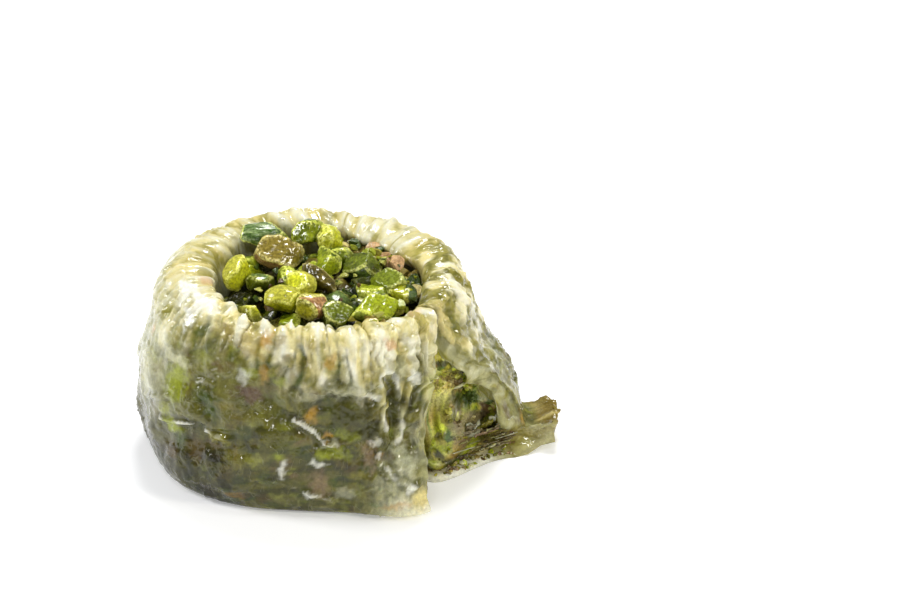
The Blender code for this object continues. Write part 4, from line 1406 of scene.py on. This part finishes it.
def cutKernel(name, size, cuts, voxel, seed):
    # one chopped bit of kernel at the origin: a rounded nut, cut by planes, with crumbly cut faces
    length, width, thickness = size
    bpy.ops.mesh.primitive_uv_sphere_add(segments=28, ring_count=16, radius=0.5)
    obj = lastMade(name)
    radii = np.array((length * 1.18, width * 1.12, thickness * 1.12)) / 2
    bpy.ops.object.mode_set(mode="EDIT")
    bpy.ops.mesh.select_all(action="SELECT")
    bpy.ops.transform.resize(value=tuple(radii * 2), center_override=(0, 0, 0))
    for normal, reach in cuts:
        bpy.ops.mesh.select_all(action="SELECT")
        spot = tuple(Vector(normal) * reach)
        bpy.ops.mesh.bisect(plane_co=spot, plane_no=normal, use_fill=True, clear_outer=True)
    bpy.ops.object.mode_set(mode="OBJECT")
    remesh = obj.modifiers.new("even", "REMESH")
    remesh.mode = "VOXEL"
    remesh.voxel_size = voxel
    bpy.ops.object.modifier_apply(modifier=remesh.name)
    soften = obj.modifiers.new("soften", "SMOOTH")
    soften.factor = 0.5
    soften.iterations = 1
    bpy.ops.object.modifier_apply(modifier=soften.name)
    points, normals = pointsOf(obj.data), normalsOf(obj.data)
    flesh = np.zeros(len(points))
    for normal, reach in cuts:
        flesh = np.maximum(flesh, fadeIn(-0.42, -0.2, points @ np.array(normal) - reach))
    outside = np.linalg.norm(points / radii, axis=1)
    edge = flesh * fadeIn(0.80, 0.95, outside)
    shifted = points + seed * 3.7
    grainy = softNoise(shifted, 0.65) + 0.7 * softNoise(shifted, 1.3)
    broad = softNoise(shifted, 2.6)
    ribs = softNoise(shifted * (0.4, 2.2, 2.2), 1.6)
    relief = 0.13 * grainy * flesh + (0.14 * ribs + 0.03 * grainy) * (1 - flesh) + 0.13 * broad
    points = points + normals * relief[:, None]
    setPoints(obj.data, points)
    setAttribute(obj.data, "flesh", flesh)
    setAttribute(obj.data, "edge", edge)
    return obj


def randomCuts(rng, size):
    length, width, thickness = size

    def plane(x, y, z, reach):
        return tuple(Vector((x, y, z)).normalized()), reach

    cuts = [
        plane(1, rng.uniform(-0.5, 0.5), rng.uniform(-0.4, 0.4), length * rng.uniform(0.34, 0.46)),
        plane(-1, rng.uniform(-0.6, 0.6), rng.uniform(-0.5, 0.5), length * rng.uniform(0.34, 0.46)),
        plane(rng.uniform(-0.4, 0.4), rng.uniform(-0.5, 0.5), rng.choice((1, 1, -1)),
              thickness * rng.uniform(0.2, 0.4)),
    ]
    if rng.random() < 0.6:
        cuts.append(plane(rng.uniform(-0.3, 0.3), rng.choice((1, -1)), rng.uniform(-0.3, 0.3),
                          width * rng.uniform(0.22, 0.4)))
    # broken corners
    for _ in range(rng.choice((2, 3, 3, 4))):
        cuts.append(plane(rng.uniform(-1, 1), rng.uniform(-1, 1), rng.uniform(-0.6, 1),
                          width * rng.uniform(0.38, 0.52)))
    return cuts


def placeChip(obj, place, turn, lean, tint):
    obj.rotation_euler = (lean[0], lean[1], math.radians(turn))
    obj.location = place
    bpy.ops.object.transform_apply(location=True, rotation=True, scale=True)
    setPoints(obj.data, insideCup(pointsOf(obj.data)))
    setAttribute(obj.data, "tint", np.full(len(obj.data.vertices), tint))


def joinPieces(name, pieces):
    selectOnly(pieces)
    bpy.ops.object.join()
    joined = bpy.context.object
    joined.name = joined.data.name = name
    joined.data.shade_smooth()
    return joined


def nutLook(kind):
    fleshDeep, fleshBright, pale, skinDeep, skinBright = nutKinds[kind]
    look = Look("nut_" + kind)
    places = look.places()
    flesh, edge, tint = look.attribute("flesh"), look.attribute("edge"), look.attribute("tint")
    cloud = look.grain(places, 2.4, 3.0)
    fine = look.grain(places, 0.42, 4.0, 0.6)
    ripe = look.between(cloud * 0.9 + tint * 0.4, 0.40, 0.80)
    inside = look.blend(ripe, colour(*fleshDeep), colour(*fleshBright))
    inside = look.blend(edge * look.between(fine, 0.3, 0.6) * 0.8, inside, colour(*pale))
    veins = look.grain(look.stretched(places, (0.35, 1.6, 1.0)), 0.8, 4.0, 0.65)
    vein = look.between(veins * 0.7 + tint * 0.3, 0.36, 0.68)
    outside = look.blend(vein, colour(*skinDeep), colour(*skinBright))
    mask = look.between(flesh + (fine - 0.5) * 0.5, 0.35, 0.65)
    shade = look.blend(mask, outside, inside)
    height = look.add("ShaderNodeSeparateXYZ", None, {0: places}, output=2)
    # partly syrup, partly painted shade: the nuts darker lower down in the heap, in the gaps between the
    # chips
    dapple = look.between(fine, 0.3, 0.7, 0.58, 1.32) * look.between(height, 25.6, 28.8, 0.2, 1.08)
    shade = look.shaded(shade, dapple)
    wet = look.between(look.grain(places, 1.1, 2.0), 0.50, 0.60)
    return look.finish({
        "Base Color": shade,
        "Roughness": look.between(fine, 0.35, 0.7, 0.06, 0.20) - wet * 0.04,
        "Normal": look.bump(fine * 0.5 + veins * 0.4, 0.07, 0.8),
        "Specular IOR Level": 0.6,
        "Subsurface Weight": 0.25,
        "Subsurface Radius": (0.8, 1.0, 0.25),
        "Subsurface Scale": 0.0009,
    })


def crumbShape(seed):
    # a crumb of nut with a few dozen faces
    rng = random.Random(seed)
    bpy.ops.mesh.primitive_ico_sphere_add(subdivisions=2, radius=0.5)
    obj = lastMade("crumb")
    bpy.ops.object.mode_set(mode="EDIT")
    for _ in range(8):
        normal = Vector((rng.uniform(-1, 1), rng.uniform(-1, 1), rng.uniform(-1, 1))).normalized()
        bpy.ops.mesh.select_all(action="SELECT")
        bpy.ops.mesh.bisect(plane_co=tuple(normal * rng.uniform(0.16, 0.34)), plane_no=tuple(normal),
                            use_fill=True, clear_outer=True)
    bpy.ops.mesh.select_all(action="SELECT")
    bpy.ops.mesh.quads_convert_to_tris()
    bpy.ops.object.mode_set(mode="OBJECT")
    points = pointsOf(obj.data)
    faces = [tuple(p.vertices) for p in obj.data.polygons]
    bpy.data.objects.remove(obj)
    return points, faces


def scatterCrumbs(name, spots, rng, shapes):
    # spots are place, size, flatness, colour and tint; each crumb is a turned copy of one of the shapes
    points, faces, paints, tints = [], [], [], []
    for place, size, flatten, paint, tint in spots:
        shape, shapeFaces = shapes[rng.randrange(len(shapes))]
        turn = Matrix.Rotation(rng.uniform(0, 6.28), 3, "Z") @ Matrix.Rotation(rng.uniform(0, 6.28), 3, "X")
        scale = np.array((1.0, rng.uniform(0.65, 0.95), flatten)) * size
        start = sum(len(p) for p in points)
        points.append((shape * scale) @ np.array(turn.transposed()) + place)
        faces.extend(tuple(i + start for i in face) for face in shapeFaces)
        paints.extend([paint] * len(shape))
        tints.extend([tint] * len(shape))
    mesh = bpy.data.meshes.new(name)
    mesh.from_pydata([tuple(p) for p in np.concatenate(points)], [], faces)
    mesh.update()
    setAttribute(mesh, "paint", np.array(paints), "FLOAT_COLOR")
    setAttribute(mesh, "tint", np.array(tints))
    obj = bpy.data.objects.new(name, mesh)
    bpy.context.scene.collection.objects.link(obj)
    mesh.shade_smooth()
    mesh.set_sharp_from_angle(angle=math.radians(38))
    return obj


def coverCutFaces(faces, shapes, lipRows):
    # loose crumbs on both cut faces, coloured like the ground nuts behind them
    rng = random.Random(5)
    spots = []
    for points, outward in faces:
        hollow = ground["hollows"][0][0]
        shown = [p for p in points if 1.8 < p[2] < 15.5 and p[0] < 25.5 and math.dist(p, hollow) > 1.6]
        picked = [shown[rng.randrange(len(shown))] for _ in range(ground["crumbsAtEnd"])]
        paints = paintGround(np.array(picked), 2.0)
        for place, paint in zip(picked, paints):
            size = rng.uniform(0.5, 1.7) * rng.uniform(0.7, 1.0)
            paint = tuple(np.clip(paint * rng.uniform(0.7, 1.6), 0.01, 0.8))
            spots.append((place + outward * 0.1, size, rng.uniform(0.6, 0.95), paint, rng.random()))
    # crumbs and bits of leaf that lie on the lip
    for _ in range(ground["crumbsOnLip"]):
        row = lipRows[rng.randrange(len(lipRows))]
        steps = np.cumsum(np.linalg.norm(np.diff(row, axis=0), axis=1))
        spot = rng.random() * steps[-1]
        i = int(np.searchsorted(steps, spot))
        place = row[i] + (row[i + 1] - row[i]) * rng.random()
        name = rng.choice(ground["lipColours"])
        paint = tuple(np.array(palette[name]) * rng.uniform(0.9, 1.6))
        size = rng.uniform(0.4, 1.7) * rng.uniform(0.6, 1)
        spots.append((place + (0, 0, 0.1), size, rng.uniform(0.4, 0.8), paint, rng.random()))
    crumbs = scatterCrumbs("cut_crumbs", spots, rng, shapes)
    crumbs.data.materials.append(groundLook("cutCrumbs"))
    finishPiece(crumbs, "ground_pistachio")


# Shreds of wet leaf that cling to the bottom of the cut
shreds = {
    "count": 34,
    "from": (19.8, -12.4, 1.6),
    "to": (30.6, -6.4, 1.8),
    "length": (1.8, 4.6),
    "width": (0.6, 1.2),
    "rise": 4.6,
    "thickness": 0.14,
    "colours": ("greyBrown", "film", "pinkBrown", "sand", "yellowOlive", "greyBrown", "milk", "pearl"),
}


def hangShreds(look):
    # thin rippled strips, each with its own ripple
    rng = random.Random(21)
    pieces = []
    low, high = np.array(shreds["from"]), np.array(shreds["to"])
    for number in range(shreds["count"]):
        bpy.ops.mesh.primitive_grid_add(x_subdivisions=26, y_subdivisions=3, size=1.0)
        obj = lastMade("shred")
        flat = pointsOf(obj.data)
        lift = rng.random() ** 1.6
        middle = low + (high - low) * rng.random() + np.array((-0.15, 0.35, 1.0)) * lift * shreds["rise"]
        run, rise = flat[:, 0] * rng.uniform(*shreds["length"]), flat[:, 1] * rng.uniform(*shreds["width"])
        spots = np.stack([run, rise * 0.5, 0 * run + number * 5.0], 1)
        level = spots * (1, 0, 1)
        out = 0.45 * softNoise(spots, 0.9) + 0.3 * softNoise(spots, 0.4, 3.0) + 0.1
        up = rise + rng.uniform(-0.25, 0.25) * run
        up = up + 0.7 * softNoise(level, 1.3, 8.0) + 0.4 * softNoise(level, 0.6, 9.0)
        tilt = (1 - lift) * 0.8
        across, outward = np.array((0.87, 0.49, 0)), np.array((0.49, -0.87, 0))
        raised = (1 - tilt) * np.array((0, 0, 1)) + tilt * outward
        points = middle + run[:, None] * across + up[:, None] * raised
        points = points + out[:, None] * (outward + (0, 0, tilt))
        points[:, 2] = np.maximum(points[:, 2], 0.3)
        setPoints(obj.data, points)
        tone = np.array(palette[rng.choice(shreds["colours"])]) * rng.uniform(0.5, 1.1)
        patchy = 0.8 + 0.6 * np.abs(softNoise(spots, 0.8, 11.0))
        setAttribute(obj.data, "paint", tone * patchy[:, None], "FLOAT_COLOR")
        solid = obj.modifiers.new("thickness", "SOLIDIFY")
        solid.thickness = shreds["thickness"]
        bpy.ops.object.modifier_apply(modifier=solid.name)
        pieces.append(obj)
    joined = joinPieces("leaf_shreds", pieces)
    joined.data.materials.append(look)
    finishPiece(joined, "phyllo")
    print("leaf shreds:", len(joined.data.polygons), "faces")


def makeHeap(shapes):
    rng = random.Random(heap["seed"])
    loose = looseChips(rng)
    byKind = {kind: [] for kind in nutKinds}
    for number, (x, y, lift, length, width, thickness, turn, lean, kind) in enumerate(mainChips):
        size = (length, width, thickness)
        obj = cutKernel("chip", size, randomCuts(rng, size), heap["mainVoxel"], number + 1)
        placeChip(obj, (x, y, heapHeight(x, y) + lift), turn, lean, rng.random())
        byKind[kind].append(obj)
    for number, (x, y, lift, length, width, thickness, turn) in enumerate(loose):
        size = (length, width, thickness)
        kind = rng.choice(heap["chipKinds"])
        # the deeper loose chips take the darker kinds, partly as painted shade
        if number % 2:
            kind = heap["deepKinds"][number // 2 % len(heap["deepKinds"])]
        obj = cutKernel("chip", size, randomCuts(rng, size), heap["looseVoxel"], number + 40)
        lean = (rng.uniform(-0.5, 0.5), rng.uniform(-0.5, 0.5))
        height = heapHeight(x, y) + lift - heap["chipDepths"][number % 2]
        placeChip(obj, (x, y, height), turn, lean, rng.random())
        byKind[kind].append(obj)
    for kind, pieces in byKind.items():
        joined = joinPieces("chopped_" + kind, pieces)
        joined.data.materials.append(nutLook(kind))
        finishPiece(joined, "chopped_pistachio")
        print("chopped", kind, len(joined.data.polygons), "faces")
    spots = []
    for _ in range(heap["smallCrumbs"]):
        x, y, _ = polar(15.2 * math.sqrt(rng.random()), rng.uniform(0, 360), 0)
        place = np.array((x, y, heapHeight(x, y) + rng.uniform(-0.6, 1.4)))
        paint = palette[rng.choice(heap["crumbColours"])]
        spots.append((place, rng.uniform(0.6, 2.0), rng.uniform(0.5, 0.9), paint, rng.random()))
    # crumbs caught under the leaning rim
    for _ in range(heap["crumbsByRim"]):
        angle = rng.uniform(-62, 88)
        lean = float(overhangAt(np.array(angle)))
        x, y, _ = polar(15.7 - 2.2 * lean - rng.uniform(0.0, 2.4), angle, 0)
        place = np.array((x, y, 26.2 + 0.8 * lean + rng.uniform(0.0, 1.9)))
        paint = palette[rng.choice(heap["rimColours"])]
        size = rng.uniform(1.2, 4.0) * rng.uniform(0.7, 1)
        spots.append((place, size, rng.uniform(0.5, 0.9), paint, rng.random()))
    crumbs = scatterCrumbs("heap_crumbs", spots, rng, shapes)
    crumbs.data.materials.append(groundLook("heapCrumbs"))
    finishPiece(crumbs, "chopped_pistachio")
    shapeHeapCore()


def shapeHeapCore():
    # the nuts below the top layer, packed close, dark with syrup and painted darker still as the shade in
    # the gaps between the chips above
    bpy.ops.mesh.primitive_uv_sphere_add(segments=120, ring_count=80, radius=1.0)
    obj = lastMade("heap_core")
    ball = pointsOf(obj.data)
    points = ball * heap["radius"]
    top = np.array([heapHeight(x, y) for x, y, _ in points]) - heap["coreSink"]
    points[:, 2] = np.where(ball[:, 2] > 0, top, heap["bottom"])
    level = np.abs(ball[:, 2]) < 1e-6
    points[level, 2] = top[level] - 2.0
    points[:, 2] += np.where(ball[:, 2] > 0, 0.9 * (crumbRelief(points, 2.4, 6.0) - 0.5), 0)
    setPoints(obj.data, insideCup(points))
    # the core painted dark as the shade between the chips above
    setAttribute(obj.data, "paint", paintGround(points, 5.0) * heap["coreGapShade"], "FLOAT_COLOR")
    obj.data.shade_smooth()
    obj.data.materials.append(groundLook("packedNuts"))
    finishPiece(obj, "chopped_pistachio", "pistachio_heap")
    print("heap core:", len(obj.data.polygons), "faces")


makeStudio()
skinPiece, lipRows = shapeSkin()
skinLook = phylloLook()
skinPiece.data.materials.append(skinLook)
cutFaces = shapeGround()
crumbShapes = [crumbShape(seed) for seed in range(5)]
coverCutFaces(cutFaces, crumbShapes, lipRows)
hangShreds(skinLook)
makeHeap(crumbShapes)
